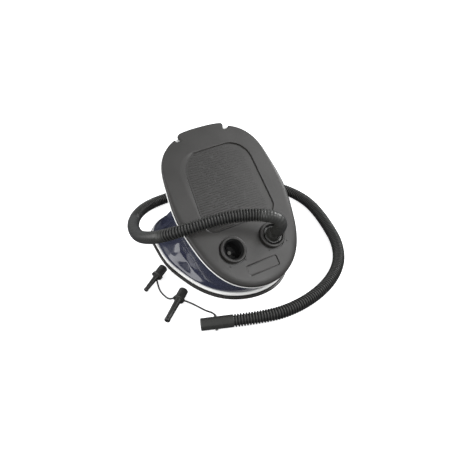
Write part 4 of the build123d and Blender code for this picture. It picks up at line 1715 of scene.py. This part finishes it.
@dataclass
class Port:
    """Bayonet socket with its raised collar.

    Attributes:
        use: "inflate" or "deflate".
        side: -1 to the left, 1 to the right.
    """

    use: str
    side: int

    def place(self, points: np.ndarray) -> np.ndarray:
        """Stand points drawn about the origin's axis in the open treadle.

        Args:
            points: The points as drawn.

        Returns:
            The points where they belong.
        """
        return HINGE.opened(points + np.array([self.side * Treadle.port_x, Treadle.port_y, 0.0]))

    def build(self) -> None:
        """Make the socket: collar, lip with two gaps, barrel, seat, hub and spokes. Its inside is painted
        nearly black, as shade.
        """
        count = 144
        heading = np.degrees(np.arange(count) * 2 * np.pi / count)
        gap = np.minimum(*(np.abs((heading - middle + 180) % 360 - 180) for middle in (45, 225))) < 20
        lip = np.where(gap, 17.3, 15.8)
        profile = [(20.0, 33.9), (20.0, 56.9), (22.7, 56.9), (23.0, 57.2), (23.0, 60.0),
                   *arc((21.2, 60.1), 1.8, 0, 90, 7), (20.5, 61.9), (20.25, 61.5), (19.75, 61.5),
                   (19.5, 61.9), (18.9, 61.85), (18.4, 61.6),
                   (18.1, 61.0), (17.9, 58.3), (17.45, 57.9), (lip + 0.3, 57.9), (lip, 57.6), (lip, 55.2),
                   (lip + 0.3, 54.9), (17.5, 54.9), (17.5, 36.4), (12.8, 36.4), (12.5, 36.1), (12.5, 33.9)]
        shape = Shape()
        rings = shape.skin([circle(r, z, count) for r, z in profile])
        shape.bridge(rings[-1], rings[0])
        hub = shape.skin([circle(r, z, 48) for r, z in ((5.0, 33.9), (5.0, 36.4), (1.6, 36.4), (1.6, 33.9))])
        shape.bridge(hub[-1], hub[0])
        for k in range(3):
            shape.block((8.75, 0, 35.15), (8.5, 3.0, 2.45), math.radians(90 + 120 * k))
        name = f"{self.use}_port"
        obj = dress(shape.make(f"{name}_moulding", self.place), Slot.CHARCOAL, "treadle", name)
        obj.data.materials.append(PORT_INSIDE_PAINTED_SHADE.material())
        axis = self.place(np.array([[0.0, 0, 50], [0, 0, 51]]))
        # faces inside the barrel, below the lip, take the nearly black painted shade
        for face in obj.data.polygons:
            away = np.array(face.center) / MM - axis[0]
            rise = away @ (axis[1] - axis[0])
            out = np.linalg.norm(away - rise * (axis[1] - axis[0]))
            face.material_index = int(out < 18.2 and rise < 11.4)


def sector(shape: Shape, outer: float, inner: float, angle: float, heading: float, low: float,
           high: float) -> None:
    """Add part of a flat ring with eased upper edges.

    Args:
        shape: Shape to add to.
        outer: Outer radius.
        inner: Inner radius.
        angle: Its width in degrees.
        heading: Middle heading in degrees.
        low: Lower face.
        high: Upper face.
    """
    rows = []
    for a in np.radians(heading + angle * np.linspace(-0.5, 0.5, 13)):
        section = [(inner, low), (outer, low), (outer, high - 0.5), (outer - 0.5, high), (inner, high)]
        rows.append(shape.add([(r * math.cos(a), r * math.sin(a), z) for r, z in section]))
    for before, after in zip(rows, rows[1:]):
        shape.bridge(before, after)
    shape.cap(rows[0][::-1])
    shape.cap(rows[-1])


class Connector:
    """Bayonet plug on the hose's end: wings, grip ears, tapered spigot."""

    def build(self) -> None:
        """Make the plug in the inflating port."""
        profile = [(8.5, 48.9), (15.0, 48.9), (15.3, 49.2), (15.3, 50.1), (14.6, 50.4), (14.6, 52.0),
                   (15.3, 52.3), (15.3, 59.9), (14.9, 60.3), (13.6, 60.4), (13.1, 60.8), (11.3, 73.2),
                   (10.9, 73.9), (8.5, 73.9)]
        shape = Shape()
        rings = shape.skin([circle(r, z, 96) for r, z in profile])
        shape.bridge(rings[-1], rings[0])
        for heading in (135, 315):
            sector(shape, 17.1, 14.0, 34, heading, 52.5, 54.5)
            sector(shape, 16.9, 13.5, 44, heading, 58.3, 60.6)
        place = Port("inflate", 1).place
        dress(shape.make("hose_plug", place), Slot.BLACK, "connector", "hose_connector")


# ---------------------------------------------------------------- the rest


# Slot whose finish each CAD node takes that still shows.
CARRIED: dict[str, Slot] = {
    "lower_hinge_bracket": Slot.CHARCOAL, "upper_hinge_bracket": Slot.CHARCOAL,
    "lower_hinge_screws": Slot.ZINC, "upper_hinge_screws": Slot.ZINC,
    "hinge_pin": Slot.ZINC, "lower_spring_seat": Slot.CHARCOAL,
    "upper_spring_seat": Slot.CHARCOAL, "deflate_port_gasket": Slot.RUBBER,
    "inflate_port_gasket": Slot.RUBBER, "deflate_valve_disc": Slot.RUBBER,
    "inflate_valve_disc": Slot.RUBBER, "deflate_valve_stud": Slot.NYLON,
    "inflate_valve_stud": Slot.NYLON, "connector_oring": Slot.RUBBER,
}


def carry_over() -> None:
    """Give each CAD node that still shows the finish of its slot."""
    for name, node in frame["nodes"].items():
        if node.hide_render:
            continue
        slot = CARRIED[name]
        node.data.materials.clear()
        node.data.materials.append(FINISH_OF[slot].material())
        LOG.info("%s: CAD node, %s", name, slot.value)


def main() -> None:
    """Build the scene."""
    studio = Studio()
    studio.camera()
    Hose().build()
    Treadle().build()
    Base().build()
    Bellows().build()
    Spring().build()
    Port("deflate", -1).build()
    Port("inflate", 1).build()
    Connector().build()
    carry_over()
    studio.background()
    studio.floor()
    studio.light()
    bpy.context.scene.view_settings.view_transform = "Standard"


if __name__ == "__main__":
    main()
